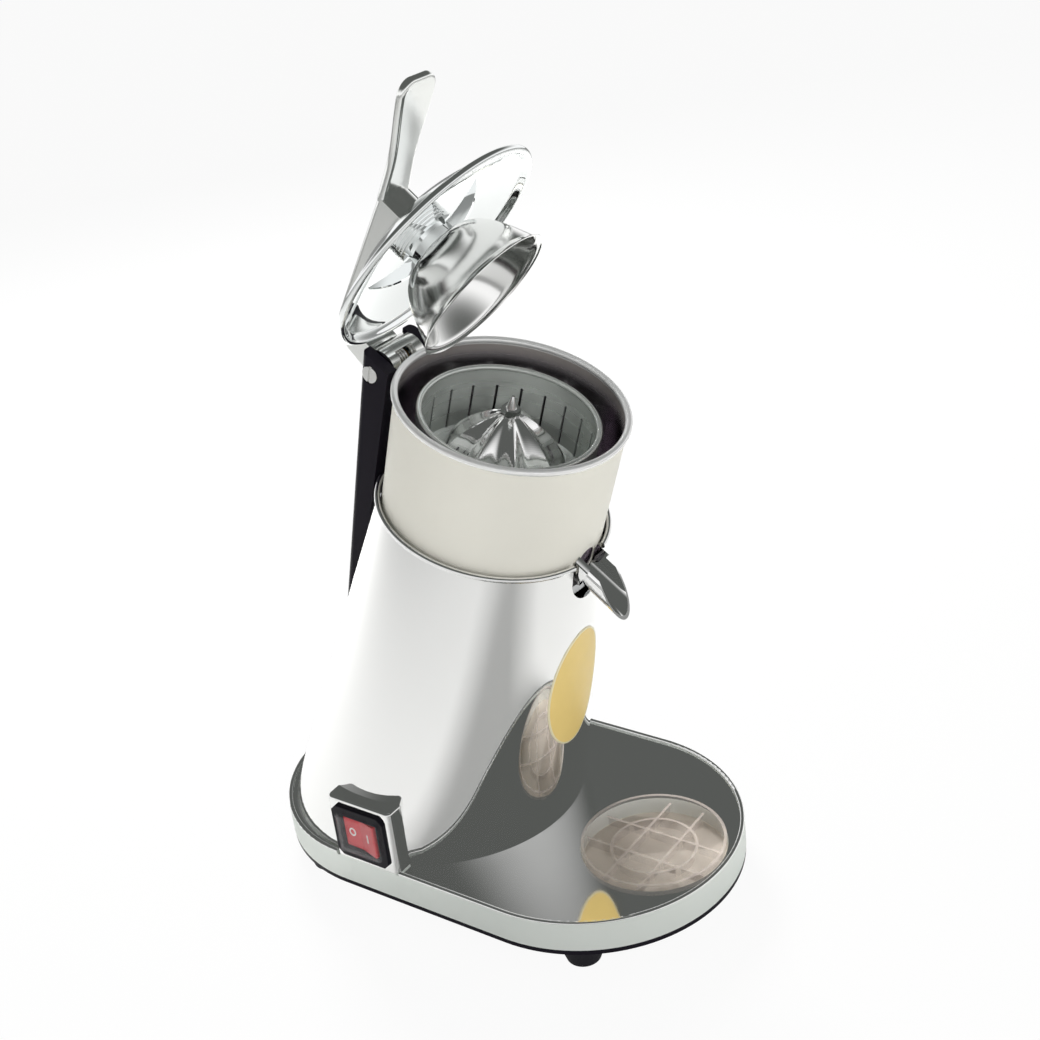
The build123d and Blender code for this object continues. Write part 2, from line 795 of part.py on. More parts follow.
def lever_column():
    top_back = column_front + column_top_depth
    foot_back = column_front + column_foot_depth
    crest = hinge_height + column_crest
    brow = crest - column_top_depth * tan(radians(column_top_slope))
    outline = Polyline(
        (column_front, column_foot_height), (column_front, brow), (top_back, crest),
        (foot_back, column_foot_height), close=True)
    column = extrude(Plane.YZ * make_face(outline), column_width / 2, both=True)
    rear = column.faces().sort_by(Axis.Y)[-1].edges().filter_by(lambda e: abs(e.center().X) > 1)
    column = fillet(rear, column_edge)
    fork = Box(ear_gap, FAR, FAR, align=(Align.CENTER, Align.CENTER, Align.MIN))
    column -= Pos(0, column_front, hinge_height - fork_depth) * fork
    at_hinge = Pos(0, hinge_back, hinge_height)
    half = column_width / 2
    rest_top = -spring_radius - spring_wire / 2 - spring_gap
    rest = Box(pocket_width - 2 * running_gap, rest_length, fork_depth + rest_top, align=LOW)
    column += at_hinge * Pos(0, rest_length / 2 - (hinge_back - column_front), -fork_depth) * rest
    column -= at_hinge * cross_rod(pin_radius, -half, half)
    for left in (-half, half - pin_head_thickness):
        column -= at_hinge * cross_rod(pin_head_dia / 2 + pin_head_gap, left, left + pin_head_thickness)
    for place in column_bolt_places():
        column -= place * cross_bolt(column_bolt_dia / 2, column_front, column_front + column_bolt_grip)
    return lean(column)


def hinge_pin():
    half = column_width / 2
    pin = cross_rod(pin_radius, -half, half - pin_head_thickness)
    head = cross_rod(pin_head_dia / 2, -half, -half + pin_head_thickness)
    pin += fillet(head.edges().filter_by(GeomType.CIRCLE).sort_by(Axis.X)[:1], pin_head_edge)
    pin -= Pos(-half, 0, 0) * Box(2 * pin_slot_depth, pin_slot_width, 2 * pin_head_dia)
    return lean(Pos(0, hinge_back, hinge_height) * pin)


def pin_nut():
    half = column_width / 2
    nut = cross_rod(pin_head_dia / 2, half - pin_head_thickness, half)
    nut = fillet(nut.edges().filter_by(GeomType.CIRCLE).sort_by(Axis.X)[-1:], pin_head_edge)
    return lean(Pos(0, hinge_back, hinge_height) * nut)


def hinge_bushes():
    length = (tongue_width - pocket_width) / 2
    bush = cross_rod(pin_radius + bush_wall, 0, length) - cross_rod(pin_radius + shaft_play, 0, length)
    return [raised(Pos(left, 0, 0) * bush) for left in (-tongue_width / 2, pocket_width / 2)]


def lever_arm():
    disc_axis = hinge_back
    web_low = boss_bottom + web_gap
    heel = (heel_reach, arm_heel)
    armpit = (armpit_reach, disc_rim_height + armpit_rise)
    outline = [
        (-barrel_radius * tongue_root_share, 0), (-tongue_back, arm_heel - heel_drop), heel,
        (neck_reach, neck_top), (neck_reach, web_low), (disc_axis - boss_radius, web_low), armpit,
        (tongue_front, disc_rim_height + heel_drop / 2), (tongue_front, 0)]
    arm = side_plate(outline, arm_width, {heel: heel_round, armpit: armpit_round})
    side_edges = arm.edges().filter_by(lambda e: abs(abs(e.center().X) - arm_width / 2) < 0.01)
    low_back = arm_heel - heel_drop / 2
    back = side_edges.filter_by(lambda e: e.center().Z + arm_slope * e.center().Y > low_back)
    arm = fillet(back, arm_edge)
    arm += cross_rod(barrel_radius, -tongue_width / 2, tongue_width / 2)
    arm += Pos(0, -disc_axis, 0) * rod(boss_radius, boss_bottom, boss_bottom + boss_height)
    arm += handle()
    arm -= Pos(0, -disc_axis, 0) * rod(stud_dia / 2, 0, stud_top + stud_gap)
    arm -= cross_rod(pin_radius + bush_wall, -tongue_width, tongue_width)
    room = spring_radius + spring_wire / 2 + spring_gap
    arm -= cross_rod(room, -pocket_width / 2, pocket_width / 2)
    arm -= Box(pocket_width, 4 * barrel_radius, 2 * barrel_radius, align=HIGH)
    arm -= Box(pocket_width, 2 * room, spring_leg + spring_wire, align=LOW)
    return raised(arm)


def handle():
    """The flat paddle at the end of the arm: a curved band cut to a waisted outline."""
    start = neck_reach - handle_root
    tip = neck_reach + handle_length
    root_top = arm_heel + start * arm_slope
    tip_top = root_top + handle_rise
    waist = (handle_waist / 2, -start - handle_length * handle_waist_share)
    root, end = (arm_width / 2, -start), (handle_width / 2, -tip)
    along = (0, -1)
    outline = make_face([
        Line((-root[0], root[1]), root), Spline(root, waist, end, tangents=[along, along]),
        Line(end, (-end[0], end[1])),
        Spline((-root[0], root[1]), (-waist[0], waist[1]), (-end[0], end[1]), tangents=[along, along])])
    outline = fillet(outline.vertices().group_by(Axis.Y)[0], handle_corner)
    band = []
    for drop in (0, handle_thickness):
        middle = (-(start + tip) / 2, (root_top + tip_top) / 2 - handle_sag - drop)
        band.append(ThreePointArc((-start, root_top - drop), middle, (-tip - handle_root, tip_top - drop)))
    ends = [Line(band[0] @ 0, band[1] @ 0), Line(band[0] @ 1, band[1] @ 1)]
    paddle = extrude(outline, 2 * tip_top)
    paddle &= extrude(Plane.YZ * make_face(band + ends), handle_width, both=True)
    rim = paddle.edges().filter_by(lambda e: e.center().Y < -start - handle_edge)
    return fillet(rim, handle_edge)


def dish_curve(lift):
    """The disc's dished line from its bead to its level crown, raised by a lift."""
    rim = disc_radius - disc_bead
    low, high = disc_rim_height + lift, disc_crown + lift
    middle = (rim * disc_belly_share, low + (high - low) * disc_belly_rise)
    return Spline((rim, low), middle, (collar_radius, high), tangents=[(-1, 0.5), (-1, 0.05)])


def splash_disc():
    rim = disc_radius - disc_bead
    under, upper = dish_curve(0), dish_curve(disc_sheet)
    hole = stud_dia / 2
    disc = turned(
        under, Line((collar_radius, disc_crown), (hole, disc_crown)),
        Line((hole, disc_crown), (hole, disc_crown + disc_sheet)),
        Line((hole, disc_crown + disc_sheet), (collar_radius, disc_crown + disc_sheet)),
        upper, Line((rim, disc_rim_height + disc_sheet), (rim, disc_rim_height)))
    disc += Pos(0, 0, disc_rim_height) * Torus(rim, disc_bead)
    return raised(Pos(0, -hinge_back, 0) * disc)


def press_stud():
    crown = wing_bottom - cup_sheet
    stud = rod(stud_dia / 2, crown, stud_top)
    stud += rod(stud_head_dia / 2, crown - stud_head_height, crown)
    return raised(Pos(0, -hinge_back, 0) * stud)


def clamp_collar():
    collar = rod(collar_radius, collar_bottom, disc_crown)
    step = collar_height / (collar_grooves + 1)
    for index in range(collar_grooves):
        groove = Torus(collar_radius + collar_groove / 2, collar_groove)
        collar -= Pos(0, 0, collar_bottom + step * (index + 1)) * groove
    collar -= rod(stud_dia / 2, collar_bottom, disc_crown)
    return raised(Pos(0, -hinge_back, 0) * collar)


def wing_nut():
    hub = Cone(wing_hub_radius + wing_hub_taper, wing_hub_radius, wing_hub_height, align=LOW)
    nut = Pos(0, 0, wing_bottom) * hub
    inside = (wing_hub_radius + stud_dia / 2) / 2
    seat = collar_bottom - running_gap
    foot = (inside, wing_bottom + running_gap)
    shoulder = (wing_hub_radius + wing_shoulder, seat)
    tip = (wing_reach, collar_bottom + wing_rise)
    belly = wing_reach * wing_belly_share
    blade = make_face([
        Line(foot, (inside, seat)), Line((inside, seat), shoulder),
        ThreePointArc(shoulder, (belly, collar_bottom + wing_rise * wing_top_share), tip),
        ThreePointArc(tip, (belly, wing_bottom + wing_hub_height * wing_foot_share), foot)])
    wing = extrude(Plane.XZ * blade, wing_thickness / 2, both=True)
    for copy in around(2, wing, wing_angle):
        nut += copy
    nut -= rod(stud_dia / 2, wing_bottom, collar_bottom)
    return raised(Pos(0, -hinge_back, 0) * nut)


def bell_curve(inset):
    """The cup's side from its crown to its flared lip, drawn in by a wall's inset."""
    shoulder = (cup_shoulder_radius - inset, wing_bottom - cup_shoulder_drop - inset)
    throat = (cup_radius - cup_flare - inset, cup_rim_height + cup_lip)
    return Spline(
        (cup_crown_radius, wing_bottom - inset), shoulder, throat, (cup_radius - inset, cup_rim_height),
        tangents=[(1, 0), (0.6, -1)])


def press_cup():
    hole = stud_dia / 2
    outer, inner = bell_curve(0), bell_curve(cup_sheet)
    cup = turned(
        outer, Line((cup_radius, cup_rim_height), (cup_radius - cup_sheet, cup_rim_height)), inner,
        Line((cup_crown_radius, wing_bottom - cup_sheet), (hole, wing_bottom - cup_sheet)),
        Line((hole, wing_bottom - cup_sheet), (hole, wing_bottom)),
        Line((hole, wing_bottom), (cup_crown_radius, wing_bottom)))
    return raised(Pos(0, -hinge_back, 0) * cup)


def coil_point(turn):
    """A point and a unit tangent of the spring's coil about X, at a turn in radians."""
    rise = spring_pitch / (2 * pi)
    left = -spring_turns * spring_pitch / 2
    point = Vector(left + rise * (turn - coil_start), spring_radius * cos(turn), spring_radius * sin(turn))
    tangent = Vector(rise, -spring_radius * sin(turn), spring_radius * cos(turn)).normalized()
    return point, tangent


def coil_gap():
    """The least clear distance between neighbouring turns, measured on points along the coil."""
    per_turn = 72
    points = [coil_point(2 * pi * index / per_turn)[0] for index in range(3 * per_turn)]
    far = [(one - other).length for at, one in enumerate(points) for other in points[at + per_turn // 2:]]
    return min(far) - spring_wire


def biarc(start, start_tangent, end, end_tangent):
    """Two arcs that join two points along the tangents there."""
    across = end - start
    both = start_tangent + end_tangent
    bend = 2 * (1 - start_tangent.dot(end_tangent))
    reach = (-across.dot(both) + sqrt(across.dot(both) ** 2 + bend * across.dot(across))) / bend
    first, second = start + start_tangent * reach, end - end_tangent * reach
    joint = (first + second) * 0.5
    joint_tangent = (second - first).normalized()
    return [
        Edge.make_tangent_arc(start, start_tangent, joint),
        Edge.make_tangent_arc(joint, joint_tangent, end)]


def lever_spring():
    quarters = 4 * spring_turns + 1
    step = (coil_end - coil_start) / quarters
    stops = [coil_point(coil_start + step * index) for index in range(quarters + 1)]
    (first, first_tangent), (final, final_tangent) = stops[0], stops[-1]
    foot = first - first_tangent * spring_leg
    edges = [Edge.make_line(foot, first)]
    for (start, start_tangent), (end, end_tangent) in zip(stops, stops[1:]):
        edges += biarc(start, start_tangent, end, end_tangent)
    edges.append(Edge.make_line(final, final + final_tangent * spring_leg))
    section = Plane(foot, z_dir=first_tangent) * Circle(spring_wire / 2)
    print("least gap of the lever spring", round(coil_gap(), 2))
    return lean(Pos(0, hinge_back, hinge_height) * sweep(section, path=Wire(edges)))


NODES = {
    "base_tray": base_tray, "bottom_plate": bottom_plate, "rubber_feet": rubber_feet,
    "foot_screws": foot_screws, "cable_gland": cable_gland, "drip_insert": drip_insert,
    "switch_housing": switch_housing, "switch_frame": switch_frame, "switch_cover": switch_cover,
    "switch_rocker": switch_rocker, "switch_body": switch_body, "body_shell": body_shell,
    "top_plate": top_plate, "column_bolts": column_bolts, "motor_stator": motor_stator,
    "upper_shield": lambda: motor_shield(stator_top, False),
    "lower_shield": lambda: motor_shield(motor_bottom, True),
    "motor_bolts": motor_bolts, "ball_bearings": ball_bearings, "motor_rotor": motor_rotor,
    "motor_shaft": motor_shaft, "cooling_fan": cooling_fan, "shaft_seal": shaft_seal,
    "run_capacitor": run_capacitor, "bowl": bowl, "spout": spout, "strainer": strainer,
    "reamer": reamer, "reamer_nut": reamer_nut, "lever_column": lever_column,
    "hinge_pin": hinge_pin, "pin_nut": pin_nut, "hinge_bushes": hinge_bushes,
    "lever_arm": lever_arm, "splash_disc": splash_disc, "press_stud": press_stud,
    "clamp_collar": clamp_collar, "wing_nut": wing_nut, "press_cup": press_cup,
    "lever_spring": lever_spring,
}


def main():
    os.makedirs("parts", exist_ok=True)
    for name, make in NODES.items():
        piece = make()
        if isinstance(piece, list):
            piece = Compound(children=piece)
        export_step(piece, f"parts/{name}.step")


main()
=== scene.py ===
import json
import math

import bmesh
import bpy
from bpy.props import FloatProperty, FloatVectorProperty, IntProperty, PointerProperty
from mathutils import Matrix, Vector
from mathutils.geometry import interpolate_bezier


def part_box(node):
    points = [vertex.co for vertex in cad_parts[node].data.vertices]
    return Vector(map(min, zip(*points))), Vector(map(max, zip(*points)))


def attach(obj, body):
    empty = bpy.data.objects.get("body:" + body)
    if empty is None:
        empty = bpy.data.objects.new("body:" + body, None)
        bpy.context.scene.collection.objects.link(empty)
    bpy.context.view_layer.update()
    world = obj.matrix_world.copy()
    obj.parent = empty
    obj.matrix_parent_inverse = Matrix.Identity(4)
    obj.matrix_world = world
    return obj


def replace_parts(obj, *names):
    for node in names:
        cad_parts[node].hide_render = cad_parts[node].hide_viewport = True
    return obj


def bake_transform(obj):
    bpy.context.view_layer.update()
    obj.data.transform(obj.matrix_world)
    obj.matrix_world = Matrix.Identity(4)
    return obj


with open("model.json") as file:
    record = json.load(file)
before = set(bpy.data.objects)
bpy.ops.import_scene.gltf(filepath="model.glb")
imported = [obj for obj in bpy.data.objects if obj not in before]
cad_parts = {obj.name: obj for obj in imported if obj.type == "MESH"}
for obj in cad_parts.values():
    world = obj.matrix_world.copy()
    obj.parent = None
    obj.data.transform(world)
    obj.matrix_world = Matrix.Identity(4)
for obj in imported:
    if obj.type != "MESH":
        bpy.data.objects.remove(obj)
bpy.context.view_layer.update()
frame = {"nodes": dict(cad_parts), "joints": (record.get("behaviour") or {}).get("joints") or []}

bl_info = {
    "name": "Lever citrus juicer",
    "version": (1, 0, 0),
    "blender": (4, 5, 0),
    "location": "3D View > Sidebar > Juicer",
    "description": "Finishes, small pieces and studio for a lever citrus juicer",
    "category": "Object",
}

MM = 0.001
JOINTS = {joint["name"]: joint for joint in frame["joints"]}
SPIN = JOINTS["reamer_spin"]
HINGE = JOINTS["lever_pull"]
ROCKER = JOINTS["rocker_tip"]
LEAN = math.atan2(-SPIN["axis"][1], SPIN["axis"][2])
LEVER_RAISE = math.radians(68.0)
AXIS_FOOT = Vector(SPIN["pos_m"])
HINGE_PLACE = Vector(HINGE["pos_m"])

# Sizes of the turned pieces, with heights along the leaning axis
CONE_FOOT_RADIUS = 86.6 * MM
CONE_TOP_RADIUS = 63.218 * MM
CONE_HEIGHT = 209.6 * MM
BOWL_FLOOR = 195.6 * MM
BOWL_RIM = 278.6 * MM
BOWL_RADIUS = 60.418 * MM
BOWL_DRAFT = 0.9 / 81.05
BOWL_SHEET = 1.2 * MM

# Heights where a finish changes: start and end of the change, or the level itself
TRAY_LIP = (35.2 * MM, 34.6 * MM)
TRAY_WELL = (33.4 * MM, 32.4 * MM)
BOWL_ROLL = (BOWL_RIM - 4.3 * MM, BOWL_RIM - 3.5 * MM)
BOWL_BAND = (BOWL_RIM - 15 * MM, BOWL_RIM - 5 * MM)
INSERT_TOPS = (32.6 * MM, 37.4 * MM)

# Colours of the finishes that few would change
WELL_COLOUR = (0.98, 0.91, 0.82)
PRESS_COLOUR = (0.92, 0.94, 0.94)
BELL_COLOUR = (0.94, 0.94, 0.93)
# The bowl's inside colour is darkened as painted shade of its deep hollow
BOWL_INSIDE_SHADED_COLOUR = (0.68, 0.63, 0.68)
BOWL_BAND_COLOUR = (0.50, 0.46, 0.44)
STRAINER_COLOUR = (0.78, 0.81, 0.78)
BEZEL_COLOUR = (0.007, 0.006, 0.010)
RUBBER_COLOUR = (0.009, 0.008, 0.013)
COVER_COLOUR = (0.86, 0.86, 0.88)
TURNED_COLOUR = (0.72, 0.72, 0.71)
SHIELD_COLOUR = (0.62, 0.63, 0.64)
BRONZE_COLOUR = (0.62, 0.40, 0.20)
MARK_COLOUR = (0.86, 0.85, 0.83)

# The studio: plain colours, and the upward share of a direction where white ends and the ceiling starts
WHITE = (1.0, 1.0, 1.0)
CEILING = (0.10, 0.105, 0.10)
CEILING_RISE = (0.08, 0.5)
FLOOR_COLOUR = (0.86, 0.86, 0.85)
# How much of the floor's even white the camera sees, and how much reflections and clear plastic see
FLOOR_SEEN = 0.94
FLOOR_REFLECTED = 0.1
# Place, width and power of each soft panel, and the point that they face
PANELS = {
    "key_panel": ((0.75, 0.85, 0.95), 0.5, 28.0),
    "fill_panel": ((-0.9, -1.2, 1.0), 1.2, 11.0),
}
PANEL_TARGET = Vector((0.0, 0.0, 0.2))
SENSOR_WIDTH = 36.0
CAMERA_RIGHT = Vector((0.5611, -0.8204, -0.1102))
CAMERA_UP = Vector((0.4274, 0.1731, 0.8873))


# Node helpers

def fill_inputs(tree, node, inputs):
    for key, value in inputs.items():
        if isinstance(value, bpy.types.NodeSocket):
            tree.links.new(value, node.inputs[key])
        else:
            node.inputs[key].default_value = value


def add_node(tree, kind, inputs=None, **settings):
    """Add a node, set its settings, and set or link its inputs."""
    made = tree.nodes.new(kind)
    for key, value in settings.items():
        setattr(made, key, value)
    fill_inputs(tree, made, inputs or {})
    return made


def math_node(tree, operation, *values):
    made = add_node(tree, "ShaderNodeMath", dict(enumerate(values)), operation=operation)
    return made.outputs[0]


def between(tree, value, low, high):
    """A mask that goes from 0 to 1 as a value goes from low to high."""
    made = add_node(tree, "ShaderNodeMapRange", {0: value, 1: low, 2: high}, interpolation_type="SMOOTHSTEP")
    return made.outputs[0]


def mix_value(tree, mask, first, second):
    made = add_node(tree, "ShaderNodeMix", {0: mask, 2: first, 3: second}, data_type="FLOAT")
    return made.outputs[0]


def mix_colour(tree, mask, first, second):
    made = add_node(tree, "ShaderNodeMix", {0: mask, 6: first, 7: second}, data_type="RGBA")
    return made.outputs[2]


def opaque(colour):
    return (*colour, 1.0)


def new_group(name, inputs, outputs):
    """A shader group with its sockets, its entry's outputs and its exit's inputs."""
    group = bpy.data.node_groups.new(name, "ShaderNodeTree")
    for socket, kind, default in inputs:
        made = group.interface.new_socket(name=socket, in_out="INPUT", socket_type="NodeSocket" + kind)
        if default is not None:
            made.default_value = default
    for socket, kind in outputs:
        group.interface.new_socket(name=socket, in_out="OUTPUT", socket_type="NodeSocket" + kind)
    return group, group.nodes.new("NodeGroupInput").outputs, group.nodes.new("NodeGroupOutput").inputs


def handling_marks_group():
    """Soft smears that change the gloss, and a slow waviness of the sheet."""
    group, given, out = new_group(
        "Handling marks",
        [("Vector", "Vector", None), ("Roughness", "Float", 0.1), ("Smear", "Float", 0.05),
         ("Scale", "Float", 30.0)],
        [("Roughness", "Float"), ("Height", "Float")])
    smear = add_node(group, "ShaderNodeTexNoise", {
        "Vector": given["Vector"], "Scale": given["Scale"], "Detail": 4.0, "Roughness": 0.6})
    swing = math_node(group, "MULTIPLY_ADD", smear.outputs[0], given["Smear"], given["Roughness"])
    group.links.new(math_node(group, "MAXIMUM", swing, 0.01), out["Roughness"])
    wave = add_node(group, "ShaderNodeTexNoise", {
        "Vector": given["Vector"], "Scale": given["Scale"], "Detail": 1.0, "Roughness": 0.4})
    group.links.new(wave.outputs[0], out["Height"])
    return group


def spun_place_group():
    """Distance from the Z axis and height along it, for what runs round a turned piece."""
    group, given, out = new_group(
        "Spun place", [("Vector", "Vector", None)],
        [("Radius", "Float"), ("Height", "Float"), ("Vector", "Vector")])
    parts = add_node(group, "ShaderNodeSeparateXYZ", {0: given["Vector"]})
    flat = add_node(group, "ShaderNodeCombineXYZ", {0: parts.outputs[0], 1: parts.outputs[1]})
    reach = add_node(group, "ShaderNodeVectorMath", {0: flat.outputs[0]}, operation="LENGTH")
    ring = add_node(group, "ShaderNodeCombineXYZ", {0: reach.outputs["Value"], 2: parts.outputs[2]})
    group.links.new(reach.outputs["Value"], out["Radius"])
    group.links.new(parts.outputs[2], out["Height"])
    group.links.new(ring.outputs[0], out["Vector"])
    return group


def brushed_lines_group():
    """Fine lines, and broader bands of them, drawn out where the stretch is small."""
    group, given, out = new_group(
        "Brushed lines",
        [("Vector", "Vector", None), ("Stretch", "Vector", (1.0, 1.0, 1.0)), ("Lines", "Float", 900.0)],
        [("Lines", "Float"), ("Bands", "Float")])
    drawn = add_node(
        group, "ShaderNodeVectorMath", {0: given["Vector"], 1: given["Stretch"]}, operation="MULTIPLY")
    fine = add_node(group, "ShaderNodeTexNoise", {
        "Vector": drawn.outputs[0], "Scale": given["Lines"], "Detail": 2.0, "Roughness": 0.6})
    tenth = math_node(group, "MULTIPLY", given["Lines"], 0.1)
    broad = add_node(group, "ShaderNodeTexNoise", {
        "Vector": drawn.outputs[0], "Scale": tenth, "Detail": 3.0, "Roughness": 0.5})
    group.links.new(fine.outputs[0], out["Lines"])
    group.links.new(broad.outputs[0], out["Bands"])
    return group


def tone_drift_group():
    """A colour that drifts a little lighter and darker over the surface."""
    group, given, out = new_group(
        "Tone drift",
        [("Vector", "Vector", None), ("Color", "Color", (0.8, 0.8, 0.8, 1.0)), ("Amount", "Float", 0.05),
         ("Scale", "Float", 20.0)],
        [("Color", "Color")])
    noise = add_node(group, "ShaderNodeTexNoise", {
        "Vector": given["Vector"], "Scale": given["Scale"], "Detail": 5.0, "Roughness": 0.55})
    centred = math_node(group, "SUBTRACT", noise.outputs[0], 0.5)
    gain = math_node(group, "MULTIPLY_ADD", centred, given["Amount"], 1.0)
    tinted = add_node(group, "ShaderNodeVectorMath", {0: given["Color"], "Scale": gain}, operation="SCALE")
    group.links.new(tinted.outputs["Vector"], out["Color"])
    return group


def cast_skin_group():
    """The pebbled skin of a casting or a moulding."""
    group, given, out = new_group(
        "Cast skin",
        [("Vector", "Vector", None), ("Scale", "Float", 700.0)],
        [("Height", "Float"), ("Pits", "Float")])
    grain = add_node(group, "ShaderNodeTexNoise", {
        "Vector": given["Vector"], "Scale": given["Scale"], "Detail": 4.0, "Roughness": 0.65})
    cells = add_node(group, "ShaderNodeTexVoronoi", {"Vector": given["Vector"], "Scale": given["Scale"]})
    group.links.new(math_node(group, "ADD", grain.outputs[0], cells.outputs["Distance"]), out["Height"])
    group.links.new(cells.outputs["Distance"], out["Pits"])
    return group


GROUPS = {
    "Handling marks": handling_marks_group, "Spun place": spun_place_group,
    "Brushed lines": brushed_lines_group, "Tone drift": tone_drift_group, "Cast skin": cast_skin_group,
}


def use_group(tree, name, inputs):
    """Place a shared group in a material, making the group on its first use."""
    made = tree.nodes.new("ShaderNodeGroup")
    made.node_tree = bpy.data.node_groups.get(name) or GROUPS[name]()
    fill_inputs(tree, made, inputs)
    return made.outputs


# Materials

def new_material(name):
    material = bpy.data.materials.new(name)
    material.use_nodes = True
    return material, material.node_tree, material.node_tree.nodes["Principled BSDF"]


def object_place(tree, origin=None, tilt=0.0):
    """Object coordinates, or those of a turned piece about its own axis."""
    place = tree.nodes.new("ShaderNodeTexCoord").outputs["Object"]
    if origin is None:
        return place
    mapping = add_node(
        tree, "ShaderNodeMapping",
        {"Vector": place, "Location": origin, "Rotation": (tilt, 0.0, 0.0)}, vector_type="TEXTURE")
    return mapping.outputs[0]


def bump(tree, surface, height, strength, distance):
    made = add_node(tree, "ShaderNodeBump", {"Height": height, "Strength": strength, "Distance": distance})
    tree.links.new(made.outputs[0], surface.inputs["Normal"])


def add_tone(tree, surface, place, colour, amount, scale):
    tone = use_group(tree, "Tone drift", {"Vector": place, "Color": colour, "Amount": amount, "Scale": scale})
    tree.links.new(tone["Color"], surface.inputs["Base Color"])


def add_marks(tree, surface, place, roughness, smear, scale):
    marks = use_group(
        tree, "Handling marks", {"Vector": place, "Roughness": roughness, "Smear": smear, "Scale": scale})
    tree.links.new(marks["Roughness"], surface.inputs["Roughness"])
    return marks["Height"]


def polished_steel(name, colour, roughness, smear, origin=None, tilt=0.0):
    """Mirror-polished sheet: faint smears, a slow waviness and hardly any colour change."""
    material, tree, surface = new_material(name)
    place = object_place(tree, origin, tilt)
    surface.inputs["Metallic"].default_value = 1.0
    add_tone(tree, surface, place, opaque(colour), 0.05, 14.0)
    wave = add_marks(tree, surface, place, roughness, smear, 22.0)
    bump(tree, surface, wave, 0.05, 0.0002)
    return material


def tray_steel(name, colour, well_colour, wall_colour):
    """The tray: a mirror deck inside a lip, a softer well, and walls brushed along their length."""
    material, tree, surface = new_material(name)
    place = object_place(tree)
    facing = tree.nodes.new("ShaderNodeNewGeometry").outputs["Normal"]
    normal = add_node(tree, "ShaderNodeSeparateXYZ", {0: facing})
    level = between(tree, math_node(tree, "ABSOLUTE", normal.outputs[2]), 0.1, 0.5)
    height = add_node(tree, "ShaderNodeSeparateXYZ", {0: place}).outputs[2]
    below_lip = between(tree, height, *TRAY_LIP)
    satin = math_node(tree, "MULTIPLY", math_node(tree, "SUBTRACT", 1.0, level), below_lip)
    well = math_node(tree, "MULTIPLY", level, between(tree, height, *TRAY_WELL))
    soft = math_node(tree, "MAXIMUM", satin, well)
    tree.links.new(mix_value(tree, soft, 1.0, 0.35), surface.inputs["Metallic"])
    floor = mix_colour(tree, well, opaque(colour), opaque(well_colour))
    add_tone(tree, surface, place, mix_colour(tree, satin, floor, opaque(wall_colour)), 0.05, 14.0)
    lines = use_group(
        tree, "Brushed lines", {"Vector": place, "Stretch": (0.02, 0.02, 1.0), "Lines": 2600.0})
    brushed = math_node(tree, "MULTIPLY_ADD", lines["Bands"], 0.12, 0.48)
    polish = mix_value(tree, well, 0.03, 0.3)
    add_marks(tree, surface, place, mix_value(tree, satin, polish, brushed), 0.05, 22.0)
    bump(tree, surface, math_node(tree, "MULTIPLY", lines["Lines"], satin), 0.10, 0.0001)
    return material


def bowl_steel(name, outer_colour, shaded_inner_colour, band_colour, rim_colour):
    """The bowl: satin outside, spun inside with its colour darkened as painted shade, and a brushed band
    under its rolled rim.
    """
    material, tree, surface = new_material(name)
    place = object_place(tree, AXIS_FOOT, LEAN)
    spun = use_group(tree, "Spun place", {"Vector": place})
    rise = math_node(tree, "SUBTRACT", spun["Height"], BOWL_FLOOR)
    upright = math_node(tree, "MULTIPLY_ADD", rise, -BOWL_DRAFT, spun["Radius"])
    skin = BOWL_RADIUS - BOWL_SHEET / 2
    outside = between(tree, upright, skin - 0.3 * MM, skin + 0.3 * MM)
    rim = between(tree, spun["Height"], *BOWL_ROLL)
    plain = math_node(tree, "SUBTRACT", 1.0, rim)
    band = between(tree, spun["Height"], *BOWL_BAND)
    satin = math_node(tree, "MAXIMUM", outside, band)
    tree.links.new(mix_value(tree, satin, 1.0, 0.5), surface.inputs["Metallic"])
    # The inside's darker colour is painted shade of the bowl's hollow
    inside = mix_colour(tree, band, opaque(shaded_inner_colour), opaque(band_colour))
    sides = mix_colour(tree, outside, inside, opaque(outer_colour))
    add_tone(tree, surface, place, mix_colour(tree, rim, sides, opaque(rim_colour)), 0.06, 25.0)
    lines = use_group(
        tree, "Brushed lines", {"Vector": spun["Vector"], "Stretch": (1.0, 1.0, 1.0), "Lines": 1400.0})
    gloss = mix_value(tree, outside, 0.16, 0.58)
    gloss = math_node(tree, "MULTIPLY_ADD", lines["Bands"], 0.08, gloss)
    tree.links.new(mix_value(tree, rim, gloss, 0.22), surface.inputs["Roughness"])
    bump(tree, surface, math_node(tree, "MULTIPLY", lines["Lines"], plain), 0.12, 0.0001)
    return material


def spun_steel(name, colour, metallic, roughness, lines, depth, origin, tilt):
    """Satin steel with fine rings round its axis."""
    material, tree, surface = new_material(name)
    place = object_place(tree, origin, tilt)
    surface.inputs["Metallic"].default_value = metallic
    spun = use_group(tree, "Spun place", {"Vector": place})
    rings = use_group(
        tree, "Brushed lines", {"Vector": spun["Vector"], "Stretch": (1.0, 1.0, 1.0), "Lines": lines})
    add_tone(tree, surface, place, opaque(colour), 0.08, 25.0)
    rough = math_node(tree, "MULTIPLY_ADD", rings["Bands"], 0.14, roughness - 0.07)
    tree.links.new(rough, surface.inputs["Roughness"])
    bump(tree, surface, rings["Lines"], depth, 0.0001)
    return material


def cast_metal(name, colour, metallic, roughness, grain, depth, specular=0.5):
    """A casting: pebbled skin, and gloss that changes from place to place."""
    material, tree, surface = new_material(name)
    place = object_place(tree)
    surface.inputs["Metallic"].default_value = metallic
    surface.inputs["Specular IOR Level"].default_value = specular
    skin = use_group(tree, "Cast skin", {"Vector": place, "Scale": grain})
    add_tone(tree, surface, place, opaque(colour), 0.14, 40.0)
    add_marks(tree, surface, place, roughness, 0.10, 35.0)
    bump(tree, surface, skin["Height"], depth, 0.0002)
    return material


